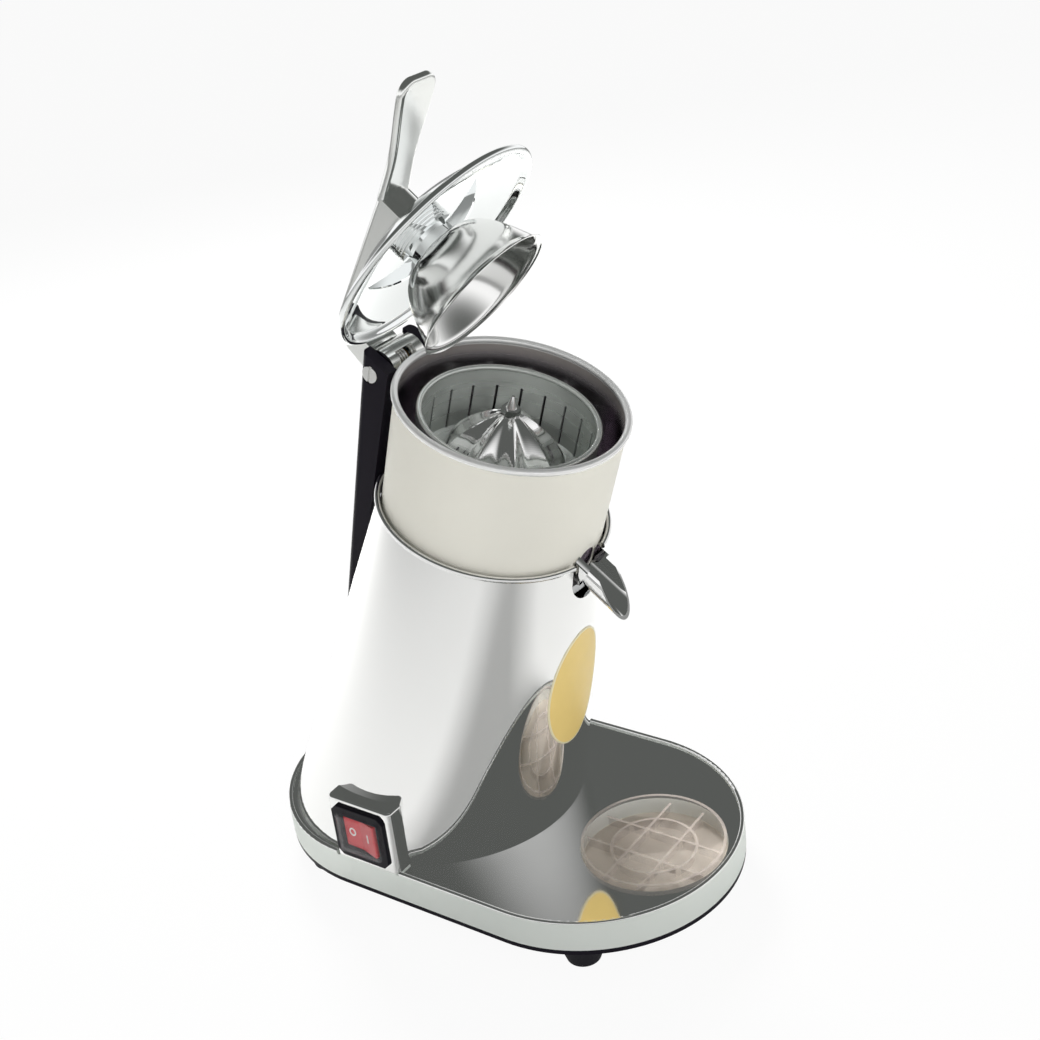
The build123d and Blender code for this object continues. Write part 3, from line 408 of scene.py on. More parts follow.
def moulded_plastic(name, colour, roughness, grain, depth, specular=0.5):
    """An opaque moulding with a fine matt grain."""
    material, tree, surface = new_material(name)
    place = object_place(tree)
    surface.inputs["Specular IOR Level"].default_value = specular
    skin = use_group(tree, "Cast skin", {"Vector": place, "Scale": grain})
    add_tone(tree, surface, place, opaque(colour), 0.2, 60.0)
    rough = math_node(tree, "MULTIPLY_ADD", skin["Pits"], 0.1, roughness - 0.05)
    tree.links.new(rough, surface.inputs["Roughness"])
    bump(tree, surface, skin["Height"], depth, 0.0001)
    return material


def clear_plastic(name, colour, roughness, flat_alpha, edge_alpha, tops=()):
    """A clear moulding that thickens in colour towards its edges, with paler tops at some heights."""
    material, tree, surface = new_material(name)
    place = object_place(tree)
    surface.inputs["IOR"].default_value = 1.49
    add_tone(tree, surface, place, opaque(colour), 0.05, 30.0)
    add_marks(tree, surface, place, roughness, 0.05, 60.0)
    facing = add_node(tree, "ShaderNodeLayerWeight", {"Blend": 0.4}).outputs["Facing"]
    alpha = mix_value(tree, facing, flat_alpha, edge_alpha)
    normal = add_node(
        tree, "ShaderNodeSeparateXYZ", {0: tree.nodes.new("ShaderNodeNewGeometry").outputs["Normal"]})
    level = between(tree, normal.outputs[2], 0.85, 0.95)
    height = add_node(tree, "ShaderNodeSeparateXYZ", {0: place}).outputs[2]
    for top in tops:
        near = math_node(tree, "COMPARE", height, top, 0.3 * MM)
        alpha = math_node(tree, "MULTIPLY_ADD", math_node(tree, "MULTIPLY", near, level), 0.28, alpha)
    tree.links.new(alpha, surface.inputs["Alpha"])
    return material


def printed_enamel(name, colour, roughness):
    """Printed enamel with a faint orange peel."""
    material, tree, surface = new_material(name)
    place = object_place(tree)
    add_tone(tree, surface, place, opaque(colour), 0.07, 90.0)
    peel = add_marks(tree, surface, place, roughness, 0.1, 400.0)
    bump(tree, surface, peel, 0.04, 0.0001)
    return material


# Mesh helpers

def cone_point(angle, height, lift=0.0):
    """A place on the leaning cone: angle from the front towards +X, height along its axis."""
    slope = (CONE_FOOT_RADIUS - CONE_TOP_RADIUS) / CONE_HEIGHT
    radius = CONE_FOOT_RADIUS - slope * height + lift
    local = Vector((radius * math.sin(angle), -radius * math.cos(angle), height + slope * lift))
    return AXIS_FOOT + Matrix.Rotation(LEAN, 3, "X") @ local


def new_piece(name, mesh, body, materials=()):
    """Link a finished mesh as a piece that rides on a body, if one is named."""
    piece = bpy.data.objects.new(name, mesh)
    bpy.context.scene.collection.objects.link(piece)
    for material in materials:
        mesh.materials.append(material)
    if body:
        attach(piece, body)
    return piece


def mesh_from(name, build):
    """Fill a new mesh with bmesh code, merge it and turn its faces outwards."""
    mesh = bpy.data.meshes.new(name)
    work = bmesh.new()
    build(work)
    bmesh.ops.remove_doubles(work, verts=work.verts, dist=1e-7)
    bmesh.ops.recalc_face_normals(work, faces=work.faces)
    work.to_mesh(mesh)
    work.free()
    return mesh


def strip(work, first, second, material=0, smooth=True):
    """Faces between two closed rings of vertices."""
    count = len(first)
    for index in range(count):
        after = (index + 1) % count
        face = work.faces.new((first[index], first[after], second[after], second[index]))
        face.material_index = material
        face.smooth = smooth


def copied_mesh(name, node):
    """A merged copy of a CAD node's mesh, with its material and its sharp edges."""
    mesh = frame["nodes"][node].data.copy()
    mesh.name = name
    work = bmesh.new()
    work.from_mesh(mesh)
    bmesh.ops.remove_doubles(work, verts=work.verts, dist=1e-6)
    for face in work.faces:
        face.smooth = True
    for edge in work.edges:
        edge.smooth = edge.calc_face_angle(0.0) < math.radians(35)
    work.to_mesh(mesh)
    work.free()
    return mesh


def curve_points(*knots):
    """Points along a smooth line; each run is a start, two handles and an end, with the next run's start."""
    made = [Vector(knots[0])]
    for index in range(0, len(knots) - 1, 3):
        run = [Vector((*knot, 0.0)) for knot in knots[index:index + 4]]
        made += [point.xy for point in interpolate_bezier(*run, 24)[1:]]
    return made


def spun_mesh(name, profile, around, place):
    """Turn a closed profile of (radius, height) points about Z and put it in its place."""
    def build(work):
        rings = []
        for radius, height in profile:
            turns = [2 * math.pi * index / around for index in range(around)]
            rings.append([work.verts.new(place @ Vector((
                radius * math.cos(turn), radius * math.sin(turn), height))) for turn in turns])
        for first, second in zip(rings, rings[1:] + rings[:1]):
            strip(work, first, second)
        bmesh.ops.remove_doubles(work, verts=work.verts, dist=1e-7)
        for edge in work.edges:
            edge.smooth = edge.calc_face_angle(0.0) < math.radians(40)

    return mesh_from(name, build)


def set_material(node, material):
    mesh = frame["nodes"][node].data
    mesh.materials.clear()
    mesh.materials.append(material)


def rule_tree(name, inputs):
    """A Geometry Nodes tree with named inputs, its entry's outputs and its exit's input."""
    tree = bpy.data.node_groups.new(name, "GeometryNodeTree")
    for socket, kind in inputs:
        tree.interface.new_socket(name=socket, in_out="INPUT", socket_type="NodeSocket" + kind)
    tree.interface.new_socket(name="Geometry", in_out="OUTPUT", socket_type="NodeSocketGeometry")
    return tree, tree.nodes.new("NodeGroupInput").outputs, tree.nodes.new("NodeGroupOutput").inputs[0]


def mesh_by_rule(name, tree, values):
    """Run a tree with its inputs set, and keep the result as a plain mesh."""
    holder = bpy.data.objects.new(name, bpy.data.meshes.new(name))
    modifier = holder.modifiers.new(name, "NODES")
    modifier.node_group = tree
    for item in tree.interface.items_tree:
        if item.in_out == "INPUT":
            modifier[item.identifier] = values[item.name]
    bpy.context.scene.collection.objects.link(holder)
    graph = bpy.context.evaluated_depsgraph_get()
    mesh = bpy.data.meshes.new_from_object(holder.evaluated_get(graph))
    holder.modifiers.remove(modifier)
    bpy.data.objects.remove(holder)
    return mesh


# Settings

class JuicerReamer(bpy.types.PropertyGroup):
    ribs: IntProperty(name="Ribs", description="Number of ribs round the reamer", default=8)
    hollow: FloatProperty(
        name="Hollow", description="Depth of the flutes as a share of the radius", default=0.25,
        subtype="FACTOR")
    base_radius: FloatProperty(
        name="Base radius", description="Radius of the reamer at its skirt", default=35.5 * MM,
        unit="LENGTH")
    crown_radius: FloatProperty(
        name="Crown radius", description="Radius of the reamer under its nut", default=6.0 * MM,
        unit="LENGTH")
    bottom: FloatProperty(
        name="Bottom", description="Height of the skirt along the leaning axis", default=231.6 * MM,
        unit="LENGTH")
    skirt: FloatProperty(name="Skirt", description="Height of the skirt", default=2.5 * MM, unit="LENGTH")
    height: FloatProperty(name="Height", description="Height of the dome", default=38.0 * MM, unit="LENGTH")
    fullness: FloatProperty(name="Fullness", description="How full the dome's side is", default=0.85)


class JuicerPress(bpy.types.PropertyGroup):
    axis_reach: FloatProperty(
        name="Reach", description="Distance from the hinge to the press's axis", default=76.018 * MM,
        unit="LENGTH")
    cup_radius: FloatProperty(
        name="Cup radius", description="Radius of the cup at its lip", default=41.018 * MM, unit="LENGTH")
    disc_radius: FloatProperty(
        name="Disc radius", description="Radius of the disc to the middle of its bead", default=65.318 * MM,
        unit="LENGTH")
    bead: FloatProperty(
        name="Bead", description="Radius of the disc's rolled bead", default=2.0 * MM, unit="LENGTH")
    sheet: FloatProperty(
        name="Sheet", description="Thickness of the pressed sheet", default=1.2 * MM, unit="LENGTH")
    coil_length: FloatProperty(
        name="Coil", description="Length of the lever spring's coil", default=10.5 * MM, unit="LENGTH")


class JuicerInsert(bpy.types.PropertyGroup):
    turn: FloatProperty(
        name="Turn", description="Angle of the drip dish in its well", default=math.radians(-30.0),
        subtype="ANGLE", unit="ROTATION")


class JuicerLabel(bpy.types.PropertyGroup):
    width: FloatProperty(
        name="Width", description="Width of the oval label on the cone", default=48.0 * MM, unit="LENGTH")
    height: FloatProperty(
        name="Height", description="Height of the oval label on the cone", default=78.0 * MM, unit="LENGTH")
    middle: FloatProperty(
        name="Middle", description="Height of the label's middle along the cone's axis", default=124.0 * MM,
        unit="LENGTH")
    border: FloatProperty(
        name="Border", description="Width of the pale border", default=1.2 * MM, unit="LENGTH")
    thickness: FloatProperty(
        name="Thickness", description="Thickness of the label", default=0.4 * MM, unit="LENGTH")
    field_colour: FloatVectorProperty(
        name="Field", description="Colour of the label's field", default=(0.94, 0.70, 0.24), subtype="COLOR")
    border_colour: FloatVectorProperty(
        name="Border colour", description="Colour of the label's border", default=(0.93, 0.84, 0.58),
        subtype="COLOR")


class JuicerSwitch(bpy.types.PropertyGroup):
    mark_height: FloatProperty(
        name="Mark height", description="Height of the marks on the rocker", default=5.6 * MM, unit="LENGTH")
    stroke: FloatProperty(
        name="Stroke", description="Line width of the marks", default=1.0 * MM, unit="LENGTH")
    rocker_colour: FloatVectorProperty(
        name="Rocker", description="Colour of the rocker", default=(0.62, 0.025, 0.035), subtype="COLOR")


class JuicerFinish(bpy.types.PropertyGroup):
    steel_colour: FloatVectorProperty(
        name="Polished steel", description="Colour of the polished steel", default=(0.95, 0.95, 0.945),
        subtype="COLOR")
    wall_colour: FloatVectorProperty(
        name="Tray wall", description="Colour of the tray's brushed wall", default=(0.86, 0.90, 0.86),
        subtype="COLOR")
    satin_colour: FloatVectorProperty(
        name="Satin steel", description="Colour of the satin bowl", default=(0.96, 0.94, 0.86),
        subtype="COLOR")
    casting_colour: FloatVectorProperty(
        name="Arm casting", description="Colour of the lever arm", default=(0.95, 0.96, 0.94),
        subtype="COLOR")
    column_colour: FloatVectorProperty(
        name="Column", description="Colour of the black column", default=(0.010, 0.008, 0.014),
        subtype="COLOR")
    insert_colour: FloatVectorProperty(
        name="Drip insert", description="Tint of the clear drip insert", default=(0.98, 0.86, 0.79),
        subtype="COLOR")


class JuicerStudio(bpy.types.PropertyGroup):
    camera_place: FloatVectorProperty(
        name="Camera", description="Place of the camera", default=(-0.6331, -0.5209, 0.6273),
        subtype="TRANSLATION", unit="LENGTH")
    lens: FloatProperty(name="Lens", description="Focal length of the camera in millimetres", default=57.59)
    floor_size: FloatProperty(
        name="Floor", description="Width of the pale floor", default=8.0, unit="LENGTH")


# Operators

class JUICER_OT_finishes(bpy.types.Operator):
    """Give each CAD node the finish of its real piece"""
    bl_idname = "juicer.finishes"
    bl_label = "Finishes"

    def execute(self, context):
        finish = context.scene.juicer_finish
        steel = finish.steel_colour
        lever_tilt = LEAN - LEVER_RAISE
        tray = tray_steel("tray_steel", steel, WELL_COLOUR, finish.wall_colour)
        cone = polished_steel("cone_steel", steel, 0.02, 0.04, AXIS_FOOT, LEAN)
        press = polished_steel("press_steel", PRESS_COLOUR, 0.02, 0.04, HINGE_PLACE, lever_tilt)
        bell = polished_steel("bell_steel", BELL_COLOUR, 0.10, 0.06, HINGE_PLACE, lever_tilt)
        drive = polished_steel("reamer_steel", steel, 0.05, 0.05, AXIS_FOOT, LEAN)
        bowl = bowl_steel(
            "bowl_satin", finish.satin_colour, BOWL_INSIDE_SHADED_COLOUR, BOWL_BAND_COLOUR, steel)
        basket = spun_steel("strainer_satin", STRAINER_COLOUR, 0.72, 0.28, 900.0, 0.30, AXIS_FOOT, LEAN)
        arm = cast_metal("arm_casting", finish.casting_colour, 1.0, 0.10, 400.0, 0.02)
        column = cast_metal("column_enamel", finish.column_colour, 0.0, 0.26, 900.0, 0.05, 0.10)
        bezel = moulded_plastic("bezel_plastic", BEZEL_COLOUR, 0.30, 1800.0, 0.06, 0.14)
        rubber = moulded_plastic("foot_rubber", RUBBER_COLOUR, 0.5, 1200.0, 0.2, 0.2)
        rocker_colour = context.scene.juicer_switch.rocker_colour
        red = moulded_plastic("rocker_red", rocker_colour, 0.25, 1500.0, 0.02, 0.3)
        cover = clear_plastic("cover_clear", COVER_COLOUR, 0.03, 0.01, 0.16)
        insert = clear_plastic("insert_clear", finish.insert_colour, 0.05, 0.01, 0.30, INSERT_TOPS)
        turned = polished_steel("turned_steel", TURNED_COLOUR, 0.18, 0.08)
        shield = cast_metal("shield_casting", SHIELD_COLOUR, 1.0, 0.42, 600.0, 0.12)
        bronze = polished_steel("bush_bronze", BRONZE_COLOUR, 0.28, 0.1)
        finishes = {
            tray: ["base_tray", "switch_housing"], cone: ["body_shell", "spout"],
            press: ["splash_disc", "wing_nut", "clamp_collar"], bell: ["press_cup"],
            drive: ["reamer", "reamer_nut"], bowl: ["bowl"], basket: ["strainer"], arm: ["lever_arm"],
            column: ["lever_column", "bottom_plate"],
            bezel: ["switch_frame", "switch_body", "cable_gland", "cooling_fan"],
            rubber: ["rubber_feet", "shaft_seal"], red: ["switch_rocker"], cover: ["switch_cover"],
            insert: ["drip_insert"],
            turned: ["hinge_pin", "pin_nut", "press_stud", "lever_spring", "foot_screws", "column_bolts",
                     "motor_bolts", "motor_shaft", "motor_rotor", "motor_stator", "ball_bearings"],
            shield: ["top_plate", "upper_shield", "lower_shield", "run_capacitor"], bronze: ["hinge_bushes"],
        }
        dressed = [node for nodes in finishes.values() for node in nodes]
        if sorted(dressed) != sorted(frame["nodes"]):
            raise RuntimeError("a CAD node has no finish, or has two")
        for material, nodes in finishes.items():
            for node in nodes:
                set_material(node, material)
        return {"FINISHED"}


class JUICER_OT_reamer(bpy.types.Operator):
    """Shape the fluted dome of the reamer by its rule"""
    bl_idname = "juicer.reamer"
    bl_label = "Reamer dome"

    ROWS = 44
    PER_RIB = 24

    def execute(self, context):
        sizes = context.scene.juicer_reamer
        values = {
            "Ribs": sizes.ribs, "Hollow": sizes.hollow, "Base radius": sizes.base_radius,
            "Crown radius": sizes.crown_radius, "Bottom": sizes.bottom, "Skirt": sizes.skirt,
            "Height": sizes.height, "Fullness": sizes.fullness,
        }
        mesh = mesh_by_rule("reamer_dome", self.dome_tree(), values)
        if not mesh.polygons:
            raise RuntimeError("the reamer's rule made no faces")
        piece = new_piece("reamer_dome", mesh, "drive")
        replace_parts(piece, "reamer")
        return {"FINISHED"}

    def dome_tree(self):
        """Rows run from under the skirt up to the crown: hub, skirt's two edges, dome, crown's middle."""
        tree, given, out = rule_tree("Reamer dome", [
            ("Ribs", "Int"), ("Hollow", "Float"), ("Base radius", "Float"), ("Crown radius", "Float"),
            ("Bottom", "Float"), ("Skirt", "Float"), ("Height", "Float"), ("Fullness", "Float")])
        columns = math_node(tree, "MULTIPLY_ADD", given["Ribs"], self.PER_RIB, 1)
        grid = add_node(tree, "GeometryNodeMeshGrid", {
            "Size X": 1.0, "Size Y": 1.0, "Vertices X": columns, "Vertices Y": self.ROWS})
        parts = add_node(
            tree, "ShaderNodeSeparateXYZ", {0: tree.nodes.new("GeometryNodeInputPosition").outputs[0]})
        turn = math_node(tree, "MULTIPLY_ADD", parts.outputs[0], 2 * math.pi, math.pi)
        half_way = (self.ROWS - 1) / 2
        row = math_node(tree, "MULTIPLY_ADD", parts.outputs[1], self.ROWS - 1, half_way)
        share = add_node(tree, "ShaderNodeMapRange", {0: row, 1: 3.0, 2: self.ROWS - 2.0}).outputs[0]
        on_dome = math_node(
            tree, "MULTIPLY", math_node(tree, "GREATER_THAN", row, 2.5),
            math_node(tree, "LESS_THAN", row, self.ROWS - 1.5))
        arc = math_node(tree, "COSINE", math_node(tree, "MULTIPLY", share, math.pi / 2))
        swell = math_node(tree, "POWER", math_node(tree, "MAXIMUM", arc, 0.0), given["Fullness"])
        spread = math_node(tree, "SUBTRACT", given["Base radius"], given["Crown radius"])
        ridge = math_node(tree, "MULTIPLY_ADD", spread, swell, given["Crown radius"])
        beat = math_node(tree, "MULTIPLY", turn, math_node(tree, "MULTIPLY", given["Ribs"], 0.5))
        wave = math_node(tree, "POWER", math_node(tree, "ABSOLUTE", math_node(tree, "SINE", beat)), 1.15)
        fade = math_node(tree, "MULTIPLY", between(tree, share, -0.12, 0.3), on_dome)
        cut = math_node(tree, "MULTIPLY", math_node(tree, "MULTIPLY", wave, given["Hollow"]), fade)
        fluted = math_node(tree, "MULTIPLY", ridge, math_node(tree, "SUBTRACT", 1.0, cut))
        hub = math_node(tree, "MULTIPLY", given["Crown radius"], 1.04)
        closed = mix_value(tree, math_node(tree, "LESS_THAN", row, 0.5), fluted, hub)
        inside = math_node(tree, "MULTIPLY", given["Crown radius"], 0.5)
        radius = mix_value(tree, math_node(tree, "GREATER_THAN", row, self.ROWS - 1.5), closed, inside)
        stands = math_node(tree, "GREATER_THAN", row, 1.5)
        low = math_node(tree, "MULTIPLY_ADD", given["Skirt"], stands, given["Bottom"])
        rise = math_node(tree, "SUBTRACT", given["Height"], given["Skirt"])
        height = math_node(tree, "MULTIPLY_ADD", rise, share, low)
        across = math_node(tree, "MULTIPLY", radius, math_node(tree, "COSINE", turn))
        along = math_node(tree, "MULTIPLY", radius, math_node(tree, "SINE", turn))
        place = add_node(tree, "ShaderNodeCombineXYZ", {0: across, 1: along, 2: height})
        bent = add_node(tree, "GeometryNodeSetPosition", {
            "Geometry": grid.outputs["Mesh"], "Position": place.outputs[0]})
        welded = add_node(tree, "GeometryNodeMergeByDistance", {
            "Geometry": bent.outputs[0], "Distance": 1e-6})
        angle = tree.nodes.new("GeometryNodeInputMeshEdgeAngle").outputs["Unsigned Angle"]
        soft = math_node(tree, "LESS_THAN", angle, math.radians(50))
        shaded = add_node(tree, "GeometryNodeSetShadeSmooth", {
            "Geometry": welded.outputs[0], "Shade Smooth": soft}, domain="EDGE")
        placed = add_node(tree, "GeometryNodeTransform", {
            "Geometry": shaded.outputs[0], "Translation": AXIS_FOOT, "Rotation": (LEAN, 0.0, 0.0)})
        real = add_node(tree, "GeometryNodeRealizeInstances", {"Geometry": placed.outputs[0]})
        finished = add_node(tree, "GeometryNodeSetMaterial", {
            "Geometry": real.outputs[0], "Material": bpy.data.materials["reamer_steel"]})
        tree.links.new(finished.outputs[0], out)
        return tree


class JUICER_OT_press(bpy.types.Operator):
    """Spin the bell-shaped cup and the dished disc of the press"""
    bl_idname = "juicer.press"
    bl_label = "Press cup and disc"

    AROUND = 144

    def execute(self, context):
        sizes = context.scene.juicer_press
        lever = Matrix.Translation(HINGE_PLACE) @ Matrix.Rotation(LEAN - LEVER_RAISE, 4, "X")
        place = lever @ Matrix.Translation((0.0, -sizes.axis_reach, 0.0))
        steel = bpy.data.materials["press_steel"]
        soft_steel = bpy.data.materials["bell_steel"]
        for name, profile, material, node in (
                ("press_bell", self.bell(sizes), soft_steel, "press_cup"),
                ("press_dish", self.dish(sizes), steel, "splash_disc")):
            mesh = spun_mesh(name, profile, self.AROUND, place)
            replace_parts(new_piece(name, mesh, "lever", [material]), node)
        return {"FINISHED"}

    def bell(self, sizes):
        """Up the outside from the flared lip to the crown, and down the inside again."""
        lip, low, crown, sheet = sizes.cup_radius, -22.5 * MM, 11.1 * MM, sizes.sheet
        hole, flat = 5.0 * MM, 15.2 * MM

        def side(inset):
            throat = (lip - 2.6 * MM - inset, low + 4.0 * MM)
            return curve_points(
                (lip - inset * 0.3, low + 0.6 * MM), (lip - 1.2 * MM - inset, low + 1.2 * MM),
                (throat[0] + 0.7 * MM, low + 2.0 * MM), throat,
                (throat[0] - 5.5 * MM, crown - 14.0 * MM), (throat[0] - 11.0 * MM, crown - inset),
                (flat, crown - inset))

        edge = [Vector((lip, low + 0.2 * MM)), Vector((lip - 0.5 * sheet, low))]
        top = [Vector((hole, crown)), Vector((hole, crown - sheet))]
        return side(0.0) + top + side(sheet)[::-1] + edge[::-1]

    def dish(self, sizes):
        """Out along the underside, round the rolled bead and back along the top."""
        rim, low, crown, bead = sizes.disc_radius, 13.1 * MM, 30.1 * MM, sizes.bead
        hole, collar = 5.0 * MM, 17.0 * MM

        def line(lift, end, heading):
            points = ((collar, crown), (25 * MM, 29.7 * MM), (33 * MM, 27 * MM), (40.5 * MM, 24.3 * MM),
                      (48 * MM, 21.7 * MM), (end[0] - heading[0], end[1] - heading[1]), end)
            return curve_points(*((radius, height + lift) for radius, height in points))

        def on_bead(degrees):
            turn = math.radians(degrees)
            return Vector((rim + bead * math.cos(turn), low + bead * math.sin(turn)))

        under = line(0.0, (rim - 4.6 * MM, low + 2.1 * MM), (5.4 * MM, -2.6 * MM))
        start = on_bead(228)
        joint = curve_points(
            under[-1], under[-1] + Vector((1.3, -0.62)) * MM, start + Vector((-0.75, 0.68)) * MM, start)
        roll = [on_bead(degrees) for degrees in range(234, 475, 6)]
        upper = line(sizes.sheet, (rim - 1.6 * MM, low + 0.7 * MM), (5.4 * MM, -2.6 * MM))
        return [Vector((hole, crown))] + under + joint[1:] + roll + upper[::-1] + [
            Vector((hole, crown + sizes.sheet))]


class JUICER_OT_insert(bpy.types.Operator):
    """Lay the loose drip dish in its well with its ribs square to the tray"""
    bl_idname = "juicer.insert"
    bl_label = "Drip dish"

    def execute(self, context):
        mesh = copied_mesh("drip_dish", "drip_insert")
        low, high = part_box("drip_insert")
        middle = Matrix.Translation((Vector(low) + Vector(high)) / 2)
        turn = Matrix.Rotation(context.scene.juicer_insert.turn, 4, "Z")
        mesh.transform(middle @ turn @ middle.inverted())
        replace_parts(new_piece("drip_dish", mesh, "insert"), "drip_insert")
        return {"FINISHED"}


class JUICER_OT_spring(bpy.types.Operator):
    """Copy the lever's spring, which sits between the column and the arm, as a merged piece with smooth
    shading
    """
    bl_idname = "juicer.spring"
    bl_label = "Lever spring"

    def execute(self, context):
        piece = new_piece("wound_spring", copied_mesh("wound_spring", "lever_spring"), None)
        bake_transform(piece)
        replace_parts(piece, "lever_spring")
        return {"FINISHED"}


class JUICER_OT_label(bpy.types.Operator):
    """Put the plain oval label on the front of the cone"""
    bl_idname = "juicer.label"
    bl_label = "Front label"

    def execute(self, context):
        sizes = context.scene.juicer_label
        around, across = 96, 8
        radius = CONE_FOOT_RADIUS - (CONE_FOOT_RADIUS - CONE_TOP_RADIUS) * sizes.middle / CONE_HEIGHT

        def ring(work, inset, lift):
            made = []
            for index in range(around):
                turn = 2 * math.pi * index / around
                side = (sizes.width / 2 - inset) * math.cos(turn)
                rise = (sizes.height / 2 - inset) * math.sin(turn)
                made.append(work.verts.new(cone_point(side / radius, sizes.middle + rise, lift)))
            return made

        def build(work):
            edge = ring(work, 0.0, 0.0)
            rim = ring(work, 0.1 * MM, sizes.thickness)
            inner = ring(work, sizes.border, sizes.thickness)
            strip(work, edge, rim, 1)
            strip(work, rim, inner, 1)
            start = sizes.border
            for step in range(1, across):
                inset = start + (sizes.width / 2 - start) * step / across
                closer = ring(work, inset, sizes.thickness)
                strip(work, inner, closer, 0)
                inner = closer
            face = work.faces.new(inner)
            face.smooth = True

        mesh = mesh_from("front_label", build)
        new_piece("front_label", mesh, "stand", [
            printed_enamel("label_field", sizes.field_colour, 0.35),
            printed_enamel("label_border", sizes.border_colour, 0.25)])
        return {"FINISHED"}


class JUICER_OT_switch_marks(bpy.types.Operator):
    """Put the ring and the bar on the two halves of the rocker"""
    bl_idname = "juicer.switch_marks"
    bl_label = "Switch marks"

    def execute(self, context):
        sizes = context.scene.juicer_switch
        half, rise, hollow = 12.5 * MM, 4.56 * MM, 1.6 * MM
        tip = math.radians(8.0)
        proud = 0.12 * MM
        place = Matrix.Translation(ROCKER["pos_m"]) @ Matrix.Rotation(math.pi / 2 - tip, 4, "Z")

        def on_face(along, up, lift):
            depth = rise - hollow + hollow * abs(along) / half + lift
            return place @ Vector((along, depth, up))

        def closed(work, outline):
            low = [work.verts.new(on_face(x, z, -proud)) for x, z in outline]
            high = [work.verts.new(on_face(x, z, proud)) for x, z in outline]
            strip(work, low, high, smooth=False)
            return high

        def build(work):
            middle, outer = half / 2, sizes.mark_height / 2
            turns = [2 * math.pi * index / 40 for index in range(40)]
            rings = []
            for reach in (outer, outer - sizes.stroke):
                rings.append(closed(work, [
                    (middle + 0.85 * reach * math.cos(turn), reach * math.sin(turn)) for turn in turns]))
            strip(work, rings[0], rings[1], smooth=False)
            wide, tall = sizes.stroke / 2, sizes.mark_height / 2
            work.faces.new(closed(work, [
                (-middle - wide, -tall), (-middle + wide, -tall), (-middle + wide, tall),
                (-middle - wide, tall)]))

        mesh = mesh_from("switch_marks", build)
        new_piece("switch_marks", mesh, "rocker", [
            printed_enamel("mark_white", MARK_COLOUR, 0.4)])
        return {"FINISHED"}


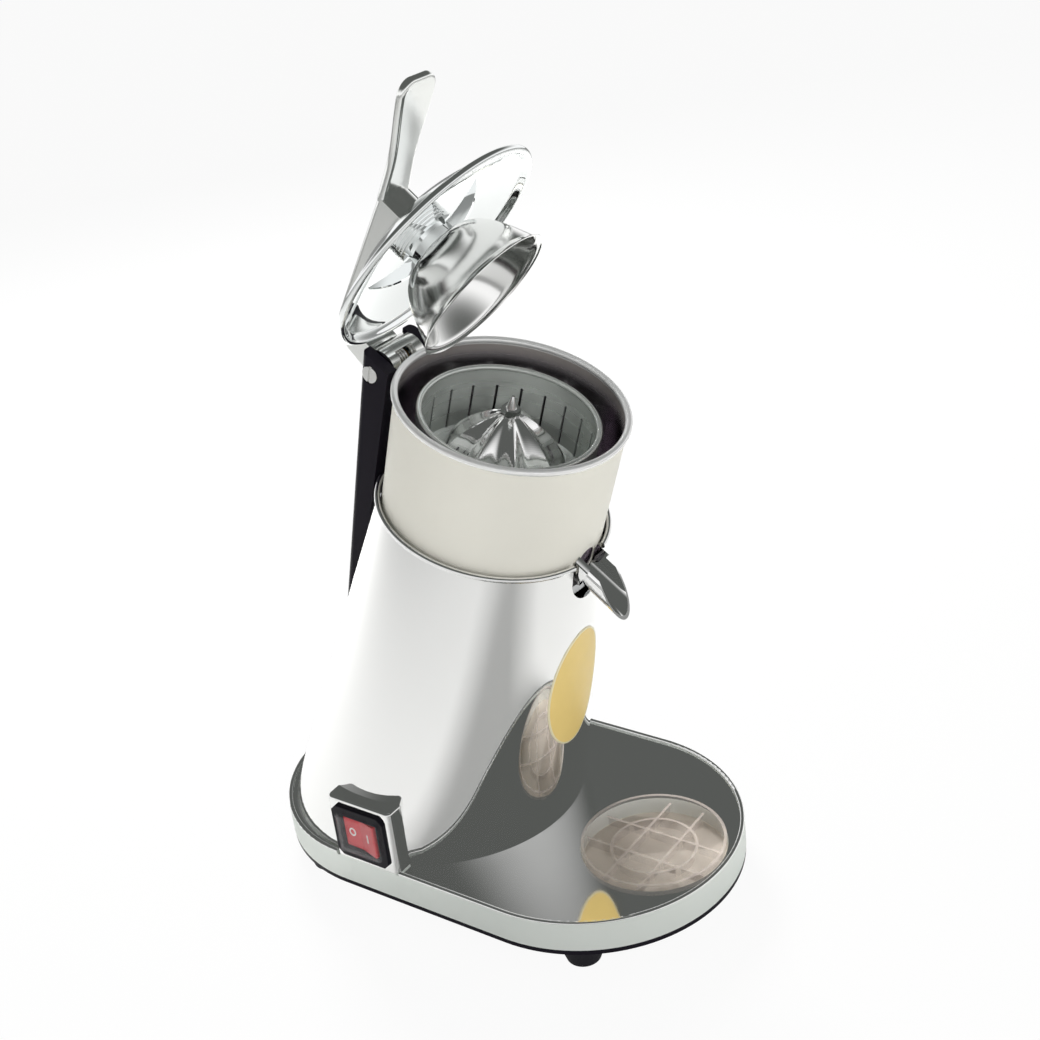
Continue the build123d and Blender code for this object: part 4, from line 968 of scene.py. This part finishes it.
class JUICER_OT_stage(bpy.types.Operator):
    """Set the floor, the studio light, the world and the camera"""
    bl_idname = "juicer.stage"
    bl_label = "Stage"

    def execute(self, context):
        scene = context.scene
        studio = scene.juicer_studio
        scene.view_settings.view_transform = "Standard"
        self.floor(studio.floor_size)
        self.world(scene)
        for name, (place, width, power) in PANELS.items():
            self.panel(name, place, width, power)
        data = bpy.data.cameras.new("photo_camera")
        data.lens = studio.lens
        data.sensor_width = SENSOR_WIDTH
        camera = bpy.data.objects.new("photo_camera", data)
        turn = Matrix((CAMERA_RIGHT, CAMERA_UP, CAMERA_RIGHT.cross(CAMERA_UP))).transposed()
        camera.matrix_world = Matrix.Translation(studio.camera_place) @ turn.to_4x4()
        scene.collection.objects.link(camera)
        scene.camera = camera
        return {"FINISHED"}

    def floor(self, size):
        def build(work):
            bmesh.ops.create_grid(work, x_segments=1, y_segments=1, size=size / 2)

        floor = bpy.data.objects.new("floor", mesh_from("floor", build))
        bpy.context.scene.collection.objects.link(floor)
        material, tree, surface = new_material("floor_paper")
        surface.inputs["Base Color"].default_value = opaque(FLOOR_COLOUR)
        surface.inputs["Roughness"].default_value = 0.9
        seen = tree.nodes.new("ShaderNodeLightPath").outputs
        glow = add_node(tree, "ShaderNodeEmission", {"Color": opaque(WHITE), "Strength": 1.0})
        camera = math_node(tree, "MULTIPLY", seen["Is Camera Ray"], FLOOR_SEEN)
        other = math_node(tree, "MAXIMUM", seen["Is Glossy Ray"], seen["Is Transmission Ray"])
        share = math_node(tree, "MULTIPLY_ADD", other, FLOOR_REFLECTED, camera)
        mixed = add_node(
            tree, "ShaderNodeMixShader", {0: share, 1: surface.outputs[0], 2: glow.outputs[0]})
        tree.links.new(mixed.outputs[0], tree.nodes["Material Output"].inputs["Surface"])
        floor.data.materials.append(material)

    def world(self, scene):
        """White at the horizon, greyer overhead, for every kind of ray."""
        world = bpy.data.worlds.new("studio")
        world.use_nodes = True
        scene.world = world
        tree = world.node_tree
        direction = tree.nodes.new("ShaderNodeTexCoord").outputs["Generated"]
        rise = add_node(tree, "ShaderNodeSeparateXYZ", {0: direction}).outputs[2]
        colour = mix_colour(tree, between(tree, rise, *CEILING_RISE), opaque(WHITE), opaque(CEILING))
        tree.links.new(colour, tree.nodes["Background"].inputs["Color"])

    def panel(self, name, place, width, power):
        """A soft panel that lights the object and isn't seen in reflections."""
        data = bpy.data.lights.new(name, "AREA")
        data.shape = "SQUARE"
        data.size = width
        data.energy = power
        lamp = bpy.data.objects.new(name, data)
        lamp.location = place
        lamp.rotation_euler = (PANEL_TARGET - Vector(place)).to_track_quat("-Z", "Y").to_euler()
        lamp.visible_glossy = False
        bpy.context.scene.collection.objects.link(lamp)


STEPS = [
    JUICER_OT_finishes, JUICER_OT_reamer, JUICER_OT_press, JUICER_OT_insert, JUICER_OT_spring,
    JUICER_OT_label, JUICER_OT_switch_marks, JUICER_OT_stage,
]


class JUICER_PT_panel(bpy.types.Panel):
    """Lists the pieces and settings of the juicer"""
    bl_idname = "JUICER_PT_panel"
    bl_label = "Citrus juicer"
    bl_space_type = "VIEW_3D"
    bl_region_type = "UI"
    bl_category = "Juicer"

    def draw(self, context):
        for step in STEPS:
            self.layout.operator(step.bl_idname)
        for name, group in SETTINGS.items():
            for key in group.__annotations__:
                self.layout.prop(getattr(context.scene, name), key)


SETTINGS = {
    "juicer_reamer": JuicerReamer, "juicer_press": JuicerPress, "juicer_insert": JuicerInsert,
    "juicer_label": JuicerLabel, "juicer_switch": JuicerSwitch, "juicer_finish": JuicerFinish,
    "juicer_studio": JuicerStudio,
}


def register():
    for name, group in SETTINGS.items():
        bpy.utils.register_class(group)
        setattr(bpy.types.Scene, name, PointerProperty(type=group))
    for made in (*STEPS, JUICER_PT_panel):
        bpy.utils.register_class(made)


def unregister():
    for made in (JUICER_PT_panel, *reversed(STEPS)):
        bpy.utils.unregister_class(made)
    for name, group in reversed(SETTINGS.items()):
        delattr(bpy.types.Scene, name)
        bpy.utils.unregister_class(group)


def main():
    register()
    bpy.ops.juicer.finishes()
    bpy.ops.juicer.reamer()
    bpy.ops.juicer.press()
    bpy.ops.juicer.insert()
    bpy.ops.juicer.spring()
    bpy.ops.juicer.label()
    bpy.ops.juicer.switch_marks()
    bpy.ops.juicer.stage()


if __name__ == "__main__":
    main()
